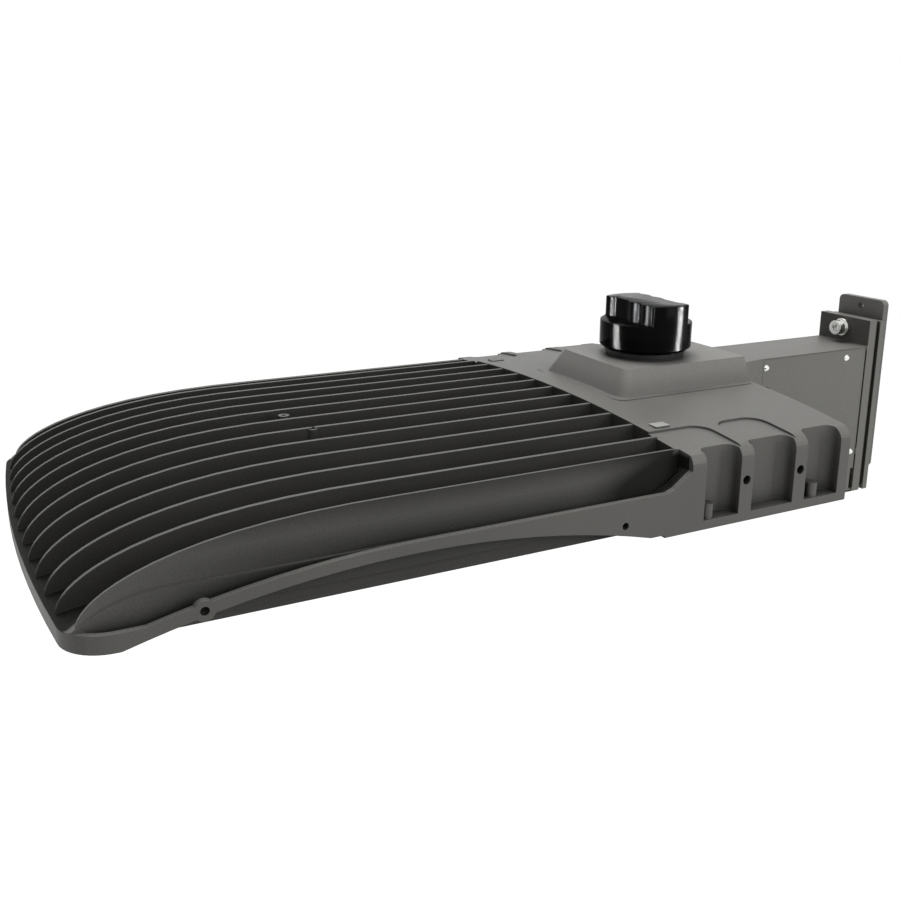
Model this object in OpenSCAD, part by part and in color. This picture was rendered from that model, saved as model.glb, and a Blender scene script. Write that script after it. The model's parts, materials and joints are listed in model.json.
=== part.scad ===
// A shoebox area light for a pole: finned heat sink, driver housing, arm and pole bracket.
// Across is X, the nose points to -Y, the pole is at +Y and the sky at +Z.
// The origin is the middle of the pole bracket's back face, between its two bolt holes.
// Heights below are over the driver housing's underside, unless a comment says otherwise.

/* [Overall] */
// Length of the heat sink, from the nose tip to the housing's roof
sink_length = 398; // [360:1:440]
// Length of the driver housing's roof
housing_length = 158; // [156:1:190]
// Length of the arm between the housing and the arm's flange
arm_length = 164; // [150:1:220]
// Width across the two side rims
body_width = 340; // [336:1:380]
// Height of the roof's centre line
roof_height = 64; // [62:1:76]
// How far the roof falls from its centre line to the rims
crown_drop = 9.6; // [6:0.1:11]
// How far the nose bows forward from its corners
nose_bow = 10.4; // [6:0.1:14]
// Height of the pole mount's centre
mount_height = 24; // [20:1:30]

/* [Heat sink] */
// Number of fins
fin_count = 13; // [9:2:15]
// Thickness of a fin
fin_t = 3; // [2:0.1:4]
// Distance from the rim's face to the middle of the outer fin
fin_inset = 11.2; // [10:0.1:13]
// Lean of the two outer fins towards the middle, in degrees
fin_lean = 8; // [0:1:10]
// How far the fins stay below the roof's crown
fin_drop = 0.7; // [0:0.1:1.5]
// Length over which the fins rise behind the nose
fin_rise_length = 180; // [120:1:220]
// Length over which the floor rises behind the nose
floor_rise_length = 52; // [40:1:70]
// Height of the floor beside the outer fins
shoulder_height = 27.5; // [26:0.5:32]
// Height of the floor between the fins
floor_height = 17; // [16:0.5:24]
// Height of the lip around the nose
lip_height = 12.5; // [12.5:0.5:14]
// Width of the ledge on the lip in front of the fins
lip_ledge = 3; // [2:0.5:5]
// Radius of the nose's corners in plan
nose_corner_r = 26; // [18:1:34]
// Height of the nose's underside
under_height = 2; // [1:0.5:3]
// Radius of the arch under each side rim
arch_r = 643; // [560:1:760]
// Height of the arch's crest
arch_height = 24; // [20:1:25]
// Distance from the housing's roof to the arch's crest
arch_reach = 195.5; // [180:0.5:210]
// Thickness of the casting over the arch
arch_skin = 3.5; // [3:0.1:5]
// Height of the rim over the groove beside it
rim_step = 3.5; // [2:0.1:5]
// Thickness of the rim
rim_t = 4; // [3:0.1:5]
// Radius of the accessory holes in the rims
rim_hole_r = 2.5; // [2:0.1:3]

/* [Optics] */
// Thickness of the wall around the optics
bay_wall = 5; // [4:0.5:7]
// Distance from the rim's face to that wall
bay_inset = 13.3; // [12:0.1:16]
// Distance from the nose tip to that wall
bay_nose_gap = 44; // [40:1:60]
// Height of the ceiling over the optics
bay_height = 11; // [11:0.5:12]
// Thickness of the lens frame
frame_t = 3; // [2:0.5:4]
// Thickness of the circuit boards
board_t = 1.6; // [1:0.1:2.4]
// Rows and columns of lenses on one lens plate
lens_count = 5; // [3:1:6]
// Radius of a lens
lens_r = 8; // [6:0.5:9]
// How far a lens stands out of its plate
lens_rise = 3; // [2:0.1:4]
// Thickness of a lens plate
lens_plate_t = 3; // [2:0.5:4]
// Side of a light emitting chip
chip_side = 3.5; // [2:0.5:5]
// Thickness of a chip
chip_t = 0.8; // [0.4:0.1:1.2]
// Gap between two lens plates
lens_plate_gap = 13; // [13:0.5:18]
// Width of the frame over the edge of a lens plate
frame_lap = 4; // [3:0.5:6]
// Radius of a frame screw's boss
frame_boss_r = 5; // [4.5:0.5:6]

/* [Housing] */
// Thickness of the roof
roof_t = 5; // [4:0.5:7]
// Thickness of the housing's side walls, which hold the pockets
side_wall = 20; // [19:0.5:24]
// Depth of the side pockets
pocket_depth = 12; // [8:0.5:13]
// Height of the side pockets' floor
pocket_floor = 6.5; // [6:0.5:12]
// Radius of the side pockets' inner corners
pocket_r = 7; // [4:0.5:9]
// Width of the ribs between the pockets
pocket_rib = 11.5; // [9:0.5:13]
// Depth of the shallow dish over a pocket
dish_depth = 1.6; // [0.5:0.1:2.5]
// Reach of the dish in from the side
dish_reach = 45.5; // [30:0.5:50]
// Radius of the accessory holes in the ribs
rib_hole_r = 3.3; // [2.5:0.1:4]
// Radius of the roof's side edges
roof_edge_r = 10; // [4:0.5:12]
// Height of the raised pad over the underside
pad_height = 82.4; // [80:0.1:90]
// Width of the pad's top
pad_top_width = 91.6; // [80:0.1:100]
// How much wider the pad is at its foot, on each side
pad_flare = 11.4; // [8:0.1:16]
// Distance from the roof's front to the pad's foot
pad_front_gap = 25; // [20:0.5:28]
// Thickness of the pad's walls
pad_wall = 5; // [4:0.5:7]

/* [Door] */
// Thickness of the door
door_t = 3; // [2:0.5:4]
// Gap between the door and the casting
door_gap = 0.6; // [0.5:0.1:1]
// Thickness of the door's seal, pressed
door_seal_t = 1.5; // [1:0.1:2]
// Width of the ledge that the door's seal rests on
door_ledge = 10; // [9:0.5:14]
// Radius of the hinge pins
hinge_pin_r = 2; // [1.5:0.1:2.2]
// Radius of the hinge eyes
hinge_eye_r = 4; // [3.8:0.1:4.2]
// Width of a hinge eye
hinge_eye_width = 16; // [12:1:24]
// Distance between the two hinges
hinge_spacing = 220; // [160:1:240]
// Radius of the door screws' shanks
door_screw_r = 2.5; // [2:0.5:3]

/* [Receptacle and cap] */
// Distance from the housing's rear face to the receptacle's axis
receptacle_inset = 68; // [64:0.5:72]
// Radius of the receptacle's body
receptacle_r = 28; // [26:0.5:29]
// Radius of the receptacle's flange
receptacle_flange_r = 32.5; // [31:0.5:33]
// Thickness of that flange
receptacle_flange_t = 3.2; // [2:0.2:4]
// Thickness of its gasket
receptacle_gasket_t = 1.5; // [1:0.1:2]
// Radius of the cap
cap_r = 37.5; // [36:0.5:40]
// Height of the cap
cap_height = 39.5; // [36:0.5:44]
// Height of the cap's round base
cap_base_height = 22; // [18:0.5:26]
// Width of the cap's grip
grip_width = 36; // [32:0.5:44]
// Radius of the blades' circle
blade_circle_r = 19.8; // [18:0.1:20]
// Thickness of a blade
blade_t = 1.6; // [1.2:0.1:2]
// Length of a blade below the cap
blade_length = 15; // [12:0.5:18]
// Turn that locks the cap, in degrees
lock_turn = 18; // [10:1:24]

/* [Arm] */
// Width of the arm
arm_width = 58.4; // [56:0.2:64]
// Height of the arm's top
arm_top = 73; // [70:0.5:75]
// Height of the underside of the arm's neck
neck_under = 46.5; // [44:0.5:48]
// Distance from the housing to the deep part of the arm
neck_length = 49.5; // [44:0.5:56]
// Width of the neck where it meets the housing
neck_foot_width = 80; // [74:1:84]
// Depth of the arm's lowest edge below the underside
arm_drop = 66.7; // [60:0.1:76]
// Height of the foot of the arm's front wall
arm_front_foot = -12; // [-20:1:0]
// Thickness of the arm's walls
arm_wall = 4; // [3:0.5:5]
// Thickness of the arm's flange
flange_t = 9; // [7:0.5:10]
// Thickness of the side cover
cover_t = 2.5; // [2:0.5:3]
// Thickness of the side cover's gasket
cover_gasket_t = 1; // [0.5:0.1:1.5]
// How far the arm's top edge stands over the cover
cover_sink = 0.8; // [0.4:0.1:1.2]
// Height of the clamp block over the arm's top
block_rise = 23.5; // [20:0.5:28]

/* [Pole mount] */
// Thickness of the pole bracket
bracket_t = 6.5; // [5:0.5:8]
// Width of the pole bracket
bracket_width = 52; // [48:1:56]
// Height of the pole bracket
bracket_height = 159.8; // [156:0.2:170]
// Depth of the bracket's foot below the underside
bracket_drop = 46.9; // [44:0.1:48]
// Distance between the two pole bolts
pole_bolt_spacing = 67; // [60:0.5:72]
// Radius of the pole bolts' holes
pole_bolt_hole_r = 5.5; // [4.5:0.5:6]
// Radius of the wire way to the pole
wire_hole_r = 12.5; // [10:0.5:13]
// Radius of the tab's hole
tab_hole_r = 3; // [2.5:0.5:4]
// Distance from the bracket's top to the tab's hole
tab_hole_drop = 8.2; // [7:0.1:9]
// Thickness of the mounting plate
plate_t = 5.5; // [5:0.5:8]
// Thickness of the gasket between arm and plate
mount_gasket_t = 5; // [4:0.5:6]
// Radius of the clamp screw's shank
clamp_r = 4; // [3:0.5:4.5]
// Height of the clamp screw's axis over the arm's top
clamp_height = 13.5; // [13:0.5:15]

/* [Hidden] */

over = 1;
fit = 0.05;
clear = 0.3;
fine = 720;
round_fn = 64;
bore_fn = 40;
nose_steps = 18;
edge_steps = 6;
fin_power = 2.5;
fin_bluff_share = 0.545;
floor_power = 2.5;
step_share = 3;
floor_step_share = 1.6;

// Places along the light, from the pole's face
plate_y = -bracket_t;
gasket_y = plate_y - plate_t;
flange_y = gasket_y - mount_gasket_t;
flange_front_y = flange_y - flange_t;
seat_y = flange_front_y - arm_length;
roof_front_y = seat_y - housing_length;
nose_y = roof_front_y - sink_length;
seat_cut = 1.4;
rear_y = seat_y + seat_cut;

// Curves of the casting
half_width = body_width / 2;
crown_r = (half_width * half_width + crown_drop * crown_drop) / (2 * crown_drop);
edge_x = half_width - roof_edge_r;
edge_reach = crown_r - roof_edge_r;
edge_z = roof_height - crown_r + sqrt(edge_reach * edge_reach - edge_x * edge_x);
edge_turn = 90 - asin(edge_x / edge_reach);
bow_r = (half_width * half_width + nose_bow * nose_bow) / (2 * nose_bow);
bow_y = nose_y + bow_r;
corner_x = half_width - nose_corner_r;
corner_reach = bow_r - nose_corner_r;
corner_y = bow_y - sqrt(corner_reach * corner_reach - corner_x * corner_x);
corner_end_x = corner_x * bow_r / corner_reach;
bow_turn = asin(half_width / bow_r);

// Fins, rims and the groove beside each rim
fin_x = half_width - fin_inset;
fin_pitch = 2 * fin_x / (fin_count - 1);
fin_side = fin_x + fin_t / 2;
lean_x = fin_side - (roof_height - crown_drop - lip_height) * tan(fin_lean);
fin_foot = (bay_height + lip_height) / 2;
arch_y = roof_front_y - arch_reach;
arch_z = arch_height - arch_r;
groove_r = arch_r + arch_skin;
rim_r = groove_r + rim_step;
rim_top = arch_z + rim_r;
groove_least = lip_height - rim_step;
lug_r = 4;
lug_bore_r = 1.6;
lug_drop = 1.5;
lug_shares = [[-0.5, 0.543], [1, 0.525]];

// Optics bay
bay_half = half_width - bay_inset;
bay_inner_half = bay_half - bay_wall;
bay_front_y = nose_y + bay_nose_gap;
bay_rear_gap = 26;
bay_rear_y = roof_front_y - bay_rear_gap;
bay_inner_front = bay_front_y + bay_wall;
bay_inner_rear = bay_rear_y - bay_wall;
bay_mid_y = (bay_front_y + bay_rear_y) / 2;
frame_gap = 0.15;
frame_z = under_height + frame_gap;
bay_foot = frame_z + frame_t;
seal_t = 1;
board_z = bay_height - board_t;
boss_row = frame_boss_r + clear;
plate_margin = 2 * boss_row + clear;
plate_width = bay_inner_half - plate_margin - lens_plate_gap / 2;
plate_x = (lens_plate_gap + plate_width) / 2;
plate_row_gap = lens_plate_gap;
plate_length = (bay_inner_rear - bay_inner_front - plate_row_gap) / 2 - boss_row;
plate_row_y = (plate_row_gap + plate_length) / 2;
plate_r = 3;
board_inset = 2;
board_screw_r = 1.5;
board_screw_head_r = 2.6;
board_screw_head_t = 0.9;
board_screw_bite = 3.5;
board_screw_margin = 6;
lens_pitch_x = (plate_width - 2 * frame_lap) / lens_count;
lens_pitch_y = (plate_length - 2 * frame_lap) / lens_count;
lens_ball_r = (lens_r * lens_r + lens_rise * lens_rise) / (2 * lens_rise);
frame_screw_r = 2;
frame_screw_length = 9.5;
frame_head_r = 3.6;
frame_head_t = 1.8;

// Driver housing
foot_gap = 17.5;
pad_rear_wall = 6;
foot_y = roof_front_y - foot_gap;
cavity_half = half_width - side_wall;
recess_depth = door_gap + door_t + door_seal_t;
hinge_band = 25;
hinge_z = hinge_eye_r;
hinge_lap = 6;
door_rear_gap = 7.8;
recess_reach = 6;
recess_side_wall = 8;
hinge_y = seat_y - hinge_band + hinge_lap;
door_rear_y = hinge_y - door_rear_gap;
recess_rear_y = hinge_y - hinge_lap;
recess_front_y = roof_front_y - recess_reach;
recess_half = half_width - recess_side_wall;
opening_front_y = recess_front_y + door_ledge;
opening_rear_y = recess_rear_y - door_ledge;
opening_half = recess_half - door_ledge;
hinge_pin_tail = 11.2;
hinge_pin_length = hinge_eye_width + 2 * hinge_pin_tail;
door_screw_inset = 14;
door_screw_x = opening_half - door_screw_inset;
door_screw_y = recess_front_y + door_ledge / 2;
door_screw_top = 15;
band_height = 15;
cavity_rear_wall = 11;
cavity_rear_y = seat_y - cavity_rear_wall;
pocket_front = 15;
pocket_rear = 18.5;
pockets_total = housing_length - pocket_front - pocket_rear - 2 * pocket_rib;
pocket_shares = [0.3, 0.38, 0.32];
dished_pockets = 2;
recess_end_reach = 3;
recess_end_slope = 14;
recess_end_foot = 12;
recess_end_lead = 2;
dish_r = 14;
dish_margin = 2;
pocket_boss_r = 4.5;
pocket_boss_height = 10.5;
pocket_boss_gaps = [2, 0, 7];
pocket_boss_sink = 1;
rib_hole_z = 30;
rim_hole_z_front = 15;
rim_hole_z_rear = 14;
rim_hole_front_gap = 78;
rim_hole_rear_gap = 50;
rim_hole_depth = 8;
rim_boss_r = 6;
rib_hole_depth = 10;
wire_way_r = 4;
wire_way_z = 9.6;
wire_bush_wall = 1;
tag_width = 9.5;
tag_length = 12.5;
tag_rise = 1;
tag_x = 117;
tag_gap = 9;

// Pad, receptacle and cap
pad_foot_half = pad_top_width / 2 + pad_flare;
pad_sink = 6;
pad_foot_z = roof_height - pad_sink;
pad_front_y = roof_front_y + pad_front_gap;
pad_front_slope = 13;
pad_corner_r = 9;
pad_top_corner_r = 7;
plinth_step = 4;
plinth_drop = 0.6;
plinth_top = roof_height - plinth_drop;
pad_hollow_half = pad_top_width / 2 - pad_wall;
receptacle_y = seat_y - receptacle_inset;
receptacle_hole_r = receptacle_r + clear;
flange_z = pad_height + receptacle_gasket_t;
socket_top = flange_z + receptacle_flange_t;
receptacle_depth = 24;
nut_t = 5;
nut_rim = 5;
nut_r = receptacle_r + nut_rim;
cap_z = socket_top + clear;
cap_foot_step = 3.5;
cap_foot_r = cap_r - cap_foot_step;
cap_foot_h = 5;
cap_top_step = 1.8;
cap_top_r = cap_r - cap_top_step;
cap_wall = 3;
cap_bore_r = cap_foot_r - cap_wall;
cap_seal_width = 4;
cap_seal_r = cap_bore_r - cap_seal_width;
cap_deck_t = 4;
cap_bar_t = 1;
cap_bar_width = 5;
blade_head = 2;
grip_turn = -6;
grip_lobe_r = 7;
grip_lobe_shares = [-0.62, 0.05, 0.66];
grip_corner_r = 4;
cap_seal_t = 1.2;
blade_arcs = [36, 30, 30];
blade_places = [90, 210, 330];
slot_slack = 4;
slot_gap = 0.5;
contact_t = 0.8;
contact_height = 10;
slot_foot_gap = 2;
slot_depth = blade_length + slot_foot_gap;

// Things inside the housing
driver_size = [188, 66, 36];
driver_top = 48;
driver_inset = 48;
driver_y = roof_front_y + driver_inset;
driver_tab = 12;
driver_tab_t = 3;
driver_corner_r = 4;
screw_r = 2;
screw_head_r = 3.8;
screw_head_t = 2.4;
screw_bite = 7;
boss_r = 5;
surge_size = [58, 30, 24];
surge_tab = 10;
surge_gap = 13;
surge_x = cavity_half - surge_size[0] / 2 - surge_tab - surge_gap;
surge_inset = 104;
surge_y = roof_front_y + surge_inset;
vent_r = 7;
vent_thread_r = 5;
vent_t = 4;
vent_gap = 48;
vent_x = vent_gap - opening_half;
vent_inset = 106;
vent_y = roof_front_y + vent_inset;
rib_t = 2.5;
rib_height = 5;
door_pull = 22;

// Arm
arm_half = arm_width / 2;
neck_front_y = seat_y + neck_length;
neck_r = 7;
flare_length = 37;
cover_front_y = seat_y + flare_length + over;
cover_face = arm_half - cover_sink;
casting_side = cover_face - cover_t - cover_gasket_t;
arm_inner_front = neck_front_y + arm_wall;
arm_bolt_z = 60;
arm_bolt_x = 20;
arm_bolt_r = 4;
arm_bolt_bite = 22;
arm_bolt_head_r = 6.5;
arm_bolt_head_t = 8;
neck_way_r = 8;
cover_gap = 0.6;
cover_screw_r = 1.6;
cover_screw_head_r = 3;
cover_screw_head_t = 1.6;
cover_boss_r = 7.5;
cover_screw_bite = 9;
cover_margin = 7;
cover_rear_run = 24.5;
cover_low_run = 40;
cover_point_step = 1.5;
cover_points = [[neck_front_y - cover_margin, arm_top - cover_margin - cover_point_step],
    [flange_front_y - cover_rear_run, arm_top - cover_margin - cover_point_step],
    [flange_front_y - cover_margin, cover_low_run - arm_drop],
    [neck_front_y + cover_margin, arm_front_foot + cover_margin + cover_point_step]];
slot_width = 3.4;
slot_foot = 3;
slot_height = 20;
grommet_lip = 2;
block_top = arm_top + block_rise;
clamp_z = arm_top + clamp_height;
terminal_size = [22, 46, 30];
terminal_share = 0.63;
terminal_y = flange_front_y - terminal_share * (arm_length - neck_length);
terminal_z = 20;
terminal_x = arm_wall - arm_half;
terminal_hole = terminal_size[2] / 2 + boss_r;
terminal_gap_share = 0.2;
post_rise = 6;
post_bite = 7;

// Pole mount
bracket_foot = -bracket_drop;
bracket_top = bracket_foot + bracket_height;
bracket_corner_r = 5;
plate_step = 1.5;
plate_top = block_top - plate_step;
plate_foot = -arm_drop;
gasket_edge = 3;
gasket_top_gap = 1;
window_half = 14;
window_foot = -42;
window_top = 80;
bolt_window_r = 11.5;
plate_screw_x = 20;
plate_screw_r = 3;
plate_screw_head_r = 5;
plate_screw_head_t = 4;
plate_screw_spots = [-50, 63];
stud_z = -28;
stud_r = 3;
stud_head_r = 5.5;
stud_head_t = 2.5;
stud_slack = 0.4;
keyhole_drop = 9;
keyhole_r = 6.2;
clamp_head_r = 6.5;
clamp_head_t = 8;
clamp_socket_r = 3.6;
clamp_socket_depth = 5;
collar_r = 8;
collar_t = 4;
clamp_tip_gap = 0.6;

casting_paint = [0.36, 0.36, 0.35];
dark_paint = [0.24, 0.24, 0.24];
steel = [0.75, 0.76, 0.78];
black_plastic = [0.07, 0.07, 0.07];
rubber = [0.12, 0.12, 0.12];
clear_plastic = [0.82, 0.88, 0.92];
brass = [0.78, 0.62, 0.3];
board_white = [0.92, 0.93, 0.92];
chip_yellow = [0.95, 0.85, 0.4];

function drop_at(r, x) = r - sqrt(r * r - x * x);
function crown_at(x) = roof_height - drop_at(crown_r, x);
function plan_y(x) = x <= corner_end_x
    ? nose_y + drop_at(bow_r, x)
    : corner_y - sqrt(nose_corner_r * nose_corner_r - (x - corner_x) * (x - corner_x));
function fin_place(i) = -fin_x + i * fin_pitch;
function rise(t, power) = 1 - pow(1 - t, power);
function fin_curve(front, top) = [for (i = [0:nose_steps])
    let (t = pow(i / nose_steps, step_share))
    [front + fin_rise_length * t, lip_height + (top - lip_height) * pow(rise(t, fin_power), fin_bluff_share)]];
function floor_curve(height) = [for (i = [0:nose_steps])
    let (t = pow(i / nose_steps, floor_step_share))
    [bow_r - lip_ledge - floor_rise_length * t,
        lip_height + (height - lip_height) * rise(t, floor_power)]];
function pocket_length(i) = pocket_shares[i] * pockets_total;
function pocket_front_y(i) = roof_front_y + pocket_front + i * pocket_rib
    + (i > 0 ? pocket_length(0) : 0) + (i > 1 ? pocket_length(1) : 0);
function roof_under(x) = roof_height - roof_t - drop_at(crown_r - roof_t, x);
function edge_point(i) = [edge_x, edge_z]
    + roof_edge_r * [cos(edge_turn * i / edge_steps), sin(edge_turn * i / edge_steps)];

// Puts heights into the frame of the pole mount
module on_pole() {
    translate([0, 0, -mount_height]) children();
}

// Runs an outline drawn in Y and Z across the light
module across(width, x = 0) {
    translate([x, 0, 0]) rotate([90, 0, 90])
        linear_extrude(height = width, center = true) children();
}

// A cylinder that runs across the light
module rod_x(r, length, x, y, z) {
    translate([x, y, z]) rotate([0, 90, 0]) cylinder(h = length, r = r, center = true, $fn = bore_fn);
}

// A cylinder that runs along the light, between two places
module rod_y(r, from_y, to_y, x, z) {
    translate([x, from_y, z]) rotate([-90, 0, 0]) cylinder(h = to_y - from_y, r = r, $fn = bore_fn);
}

// An upright cylinder between two heights
module rod_z(r, low, high, x, y) {
    translate([x, y, low]) cylinder(h = high - low, r = r, $fn = bore_fn);
}

// A box between two corners
module block(low, high) {
    translate(low) cube(high - low);
}

// A flat rectangle with round corners, about its centre
module round_rect(width, length, r) {
    square([width - 2 * r, length], center = true);
    square([width, length - 2 * r], center = true);
    for (x = [-1, 1], y = [-1, 1])
        translate([x * (width / 2 - r), y * (length / 2 - r)]) circle(r = r, $fn = bore_fn);
}

// A hexagon socket, upright, open at the top
module hex_hole(r, depth) {
    cylinder(h = depth + over, r = r, $fn = 6);
}

// Plan of the casting, set in from its edge
module body_plan(inset = 0) {
    reach = 2 * nose_corner_r;
    turn = [corner_x, corner_y - bow_y] / corner_reach;
    difference() {
        intersection() {
            translate([0, bow_y]) circle(r = bow_r - inset, $fn = fine);
            translate([0, rear_y - bow_r]) circle(r = bow_r - inset, $fn = fine);
            translate([inset - half_width, nose_y - over]) square([body_width - 2 * inset, -nose_y]);
        }
        for (side = [0, 1]) mirror([side, 0])
            polygon([[corner_x, corner_y], [corner_x + reach, corner_y],
                [corner_x + reach, corner_y - reach], [corner_x, corner_y] + turn * reach]);
    }
    for (side = [-1, 1])
        translate([side * corner_x, corner_y]) circle(r = nose_corner_r - inset, $fn = round_fn);
}

module plan_solid(low, high, inset = 0) {
    translate([0, 0, low]) linear_extrude(height = high - low) body_plan(inset);
}

// Everything below the crowned roof, or below a surface that runs under it
module under_crown(depth = 0) {
    translate([0, (nose_y + rear_y) / 2, roof_height - crown_r]) rotate([90, 0, 0])
        cylinder(h = 2 * over - nose_y, r = crown_r - depth, center = true, $fn = fine);
}

// What is cut off along the roof's side edges, to round them
module roof_edges() {
    first = 2 * edge_point(0) - edge_point(1);
    last = 2 * edge_point(edge_steps) - edge_point(edge_steps - 1);
    for (side = [0, 1]) mirror([side, 0, 0]) translate([0, over, 0]) rotate([90, 0, 0])
        linear_extrude(height = 2 * over - nose_y)
            polygon(concat([first], [for (i = [0:edge_steps]) edge_point(i)], [last,
                [last[0], roof_height + over], [half_width + over, roof_height + over],
                [half_width + over, first[1]]]));
}

// Space above the floor's curve behind the nose
module nose_hollow(height) {
    top = shoulder_height + over;
    translate([0, bow_y, 0]) rotate([0, 0, -90 - bow_turn])
        rotate_extrude(angle = 2 * bow_turn, $fn = fine)
            polygon(concat([[bow_r + nose_corner_r, top], [bow_r + nose_corner_r, lip_height]],
                floor_curve(height), [[bow_r - lip_ledge - floor_rise_length, top]]));
}

// The deeper floor between the shoulders that carry the outer fins
module valley() {
    intersection() {
        block([-bay_inner_half, nose_y - over, under_height], [bay_inner_half, roof_front_y, roof_height]);
        union() {
            nose_hollow(floor_height);
            translate([0, bow_y, floor_height])
                cylinder(h = roof_height, r = bow_r - lip_ledge - floor_rise_length + over, $fn = fine);
        }
    }
}

// Disc whose rim is the arch, in Y and Z
module arch_disc(r) {
    translate([arch_y, arch_z]) circle(r = r, $fn = fine);
}

module side_zones(from_x) {
    for (side = [-1, 1]) across(half_width + over - from_x, side * (half_width + over + from_x) / 2) children();
}

module sink_base() {
    difference() {
        plan_solid(under_height, shoulder_height);
        nose_hollow(shoulder_height);
        // the groove beside each rim
        side_zones(fin_side) difference() {
            translate([nose_y - over, groove_least])
                square([sink_length + over, shoulder_height]);
            arch_disc(groove_r);
        }
    }
}

module rims() {
    intersection() {
        difference() {
            plan_solid(under_height, rim_top);
            plan_solid(under_height - over, rim_top + over, rim_t);
        }
        side_zones(corner_x) {
            intersection() {
                translate([nose_y, 0]) square([sink_length + over, rim_top]);
                union() {
                    arch_disc(rim_r);
                    translate([arch_y, 0]) square([arch_reach + over, rim_top]);
                    translate([nose_y, 0]) square([sink_length, lip_height]);
                }
            }
        }
    }
}

module fins() {
    for (i = [0:fin_count - 1]) {
        front = plan_y(abs(fin_place(i))) + lip_ledge;
        top = crown_at(fin_place(i)) - fin_drop;
        lean = i == 0 ? fin_lean : i == fin_count - 1 ? -fin_lean : 0;
        translate([fin_place(i), 0, fin_foot]) rotate([0, lean, 0]) translate([0, 0, -fin_foot])
            across(fin_t)
                polygon(concat([[front, fin_foot]], fin_curve(front, top),
                    [[roof_front_y + over, top], [roof_front_y + over, fin_foot]]));
    }
}

// Small hollow lugs between the fins
module fin_lugs() {
    for (share = lug_shares) {
        x = share[0] * fin_pitch;
        rod_z(lug_r, floor_height - over, crown_at(x) - lug_drop, x, roof_front_y - share[1] * sink_length);
    }
}

module lug_bores() {
    for (share = lug_shares) {
        x = share[0] * fin_pitch;
        rod_z(lug_bore_r, roof_height / 2, roof_height, x, roof_front_y - share[1] * sink_length);
    }
}

module housing_body() {
    difference() {
        intersection() {
            plan_solid(0, roof_height);
            under_crown();
            across(body_width) {
                translate([roof_front_y, 0]) square([-roof_front_y, roof_height]);
                translate([foot_y, 0]) square([-foot_y, shoulder_height]);
            }
        }
        roof_edges();
    }
    for (side = [-1, 1])
        translate([side * tag_x, roof_front_y + tag_gap + tag_length / 2, crown_at(tag_x) - tag_rise])
            linear_extrude(height = 2 * tag_rise) round_rect(tag_width, tag_length, tag_rise);
}

// Recess in the housing's front, where the groove between the outer fin and the rim ends
module groove_end() {
    side_zones(lean_x) translate([roof_front_y + recess_end_reach, rim_top])
        polygon([[-2 * recess_end_slope, 0], [-recess_end_slope, 0], [0, recess_end_foot],
            [0, roof_height], [-2 * recess_end_slope, roof_height]]);
}

// Ramp from the groove's floor up to that recess
module groove_ramps() {
    width = half_width - fin_side + over;
    for (side = [-1, 1]) across(width, side * (half_width - width / 2))
        translate([roof_front_y + recess_end_reach, rim_top])
            polygon([[-2 * recess_end_slope, -rim_step], [-recess_end_slope, recess_end_lead],
                [0, recess_end_foot], [0, -rim_step - over], [-2 * recess_end_slope, -rim_step - over]]);
}

module pad_body() {
    hull() {
        for (side = [-1, 1]) {
            translate([side * (pad_foot_half - pad_corner_r), pad_front_y + pad_corner_r, pad_foot_z])
                cylinder(h = over, r = pad_corner_r, $fn = 32);
            translate([side * (pad_top_width / 2 - pad_top_corner_r),
                pad_front_y + pad_front_slope + pad_top_corner_r, pad_height - over])
                cylinder(h = over, r = pad_top_corner_r, $fn = 32);
            translate([side * (pad_foot_half - over), seat_y - over, pad_foot_z])
                cylinder(h = over, r = over, $fn = 32);
            translate([side * (pad_top_width / 2 - over), seat_y - over, pad_height - over])
                cylinder(h = over, r = over, $fn = 32);
        }
    }
    translate([0, (pad_front_y - plinth_step + seat_y) / 2, pad_foot_z])
        linear_extrude(height = plinth_top - pad_foot_z)
            round_rect(2 * (pad_foot_half + plinth_step), seat_y - pad_front_y + plinth_step, pad_corner_r);
}

// One pocket in the housing's side
module side_pocket(i) {
    length = pocket_length(i);
    translate([half_width - pocket_depth + half_width / 2, pocket_front_y(i) + length / 2, pocket_floor])
        linear_extrude(height = roof_height) round_rect(half_width, length, pocket_r);
}

// Shallow dish in the roof over a pocket
module roof_dish(i) {
    rear = pocket_front_y(i) + pocket_length(i) + dish_margin;
    low_y = i == 0 ? roof_front_y - dish_r : pocket_front_y(i) - dish_margin;
    length = rear - low_y;
    dish_x = half_width - dish_reach;
    difference() {
        translate([dish_x + half_width / 2, low_y + length / 2, shoulder_height])
            linear_extrude(height = roof_height) round_rect(half_width, length, dish_r);
        under_crown(dish_depth);
    }
}

// Round bosses at the front of the first and last pocket
module pocket_bosses() {
    for (i = [0, 2])
        rod_z(pocket_boss_r, pocket_floor - over, pocket_floor + pocket_boss_height,
            half_width - pocket_boss_r - pocket_boss_sink,
            pocket_front_y(i) + pocket_boss_gaps[i] + pocket_boss_r);
}

// Rings round the front holes of the rims
module rim_bosses() {
    for (side = [-1, 1])
        rod_x(rim_boss_r, rim_t, side * (half_width - rim_t / 2),
            nose_y + rim_hole_front_gap, rim_hole_z_front);
}

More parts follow.
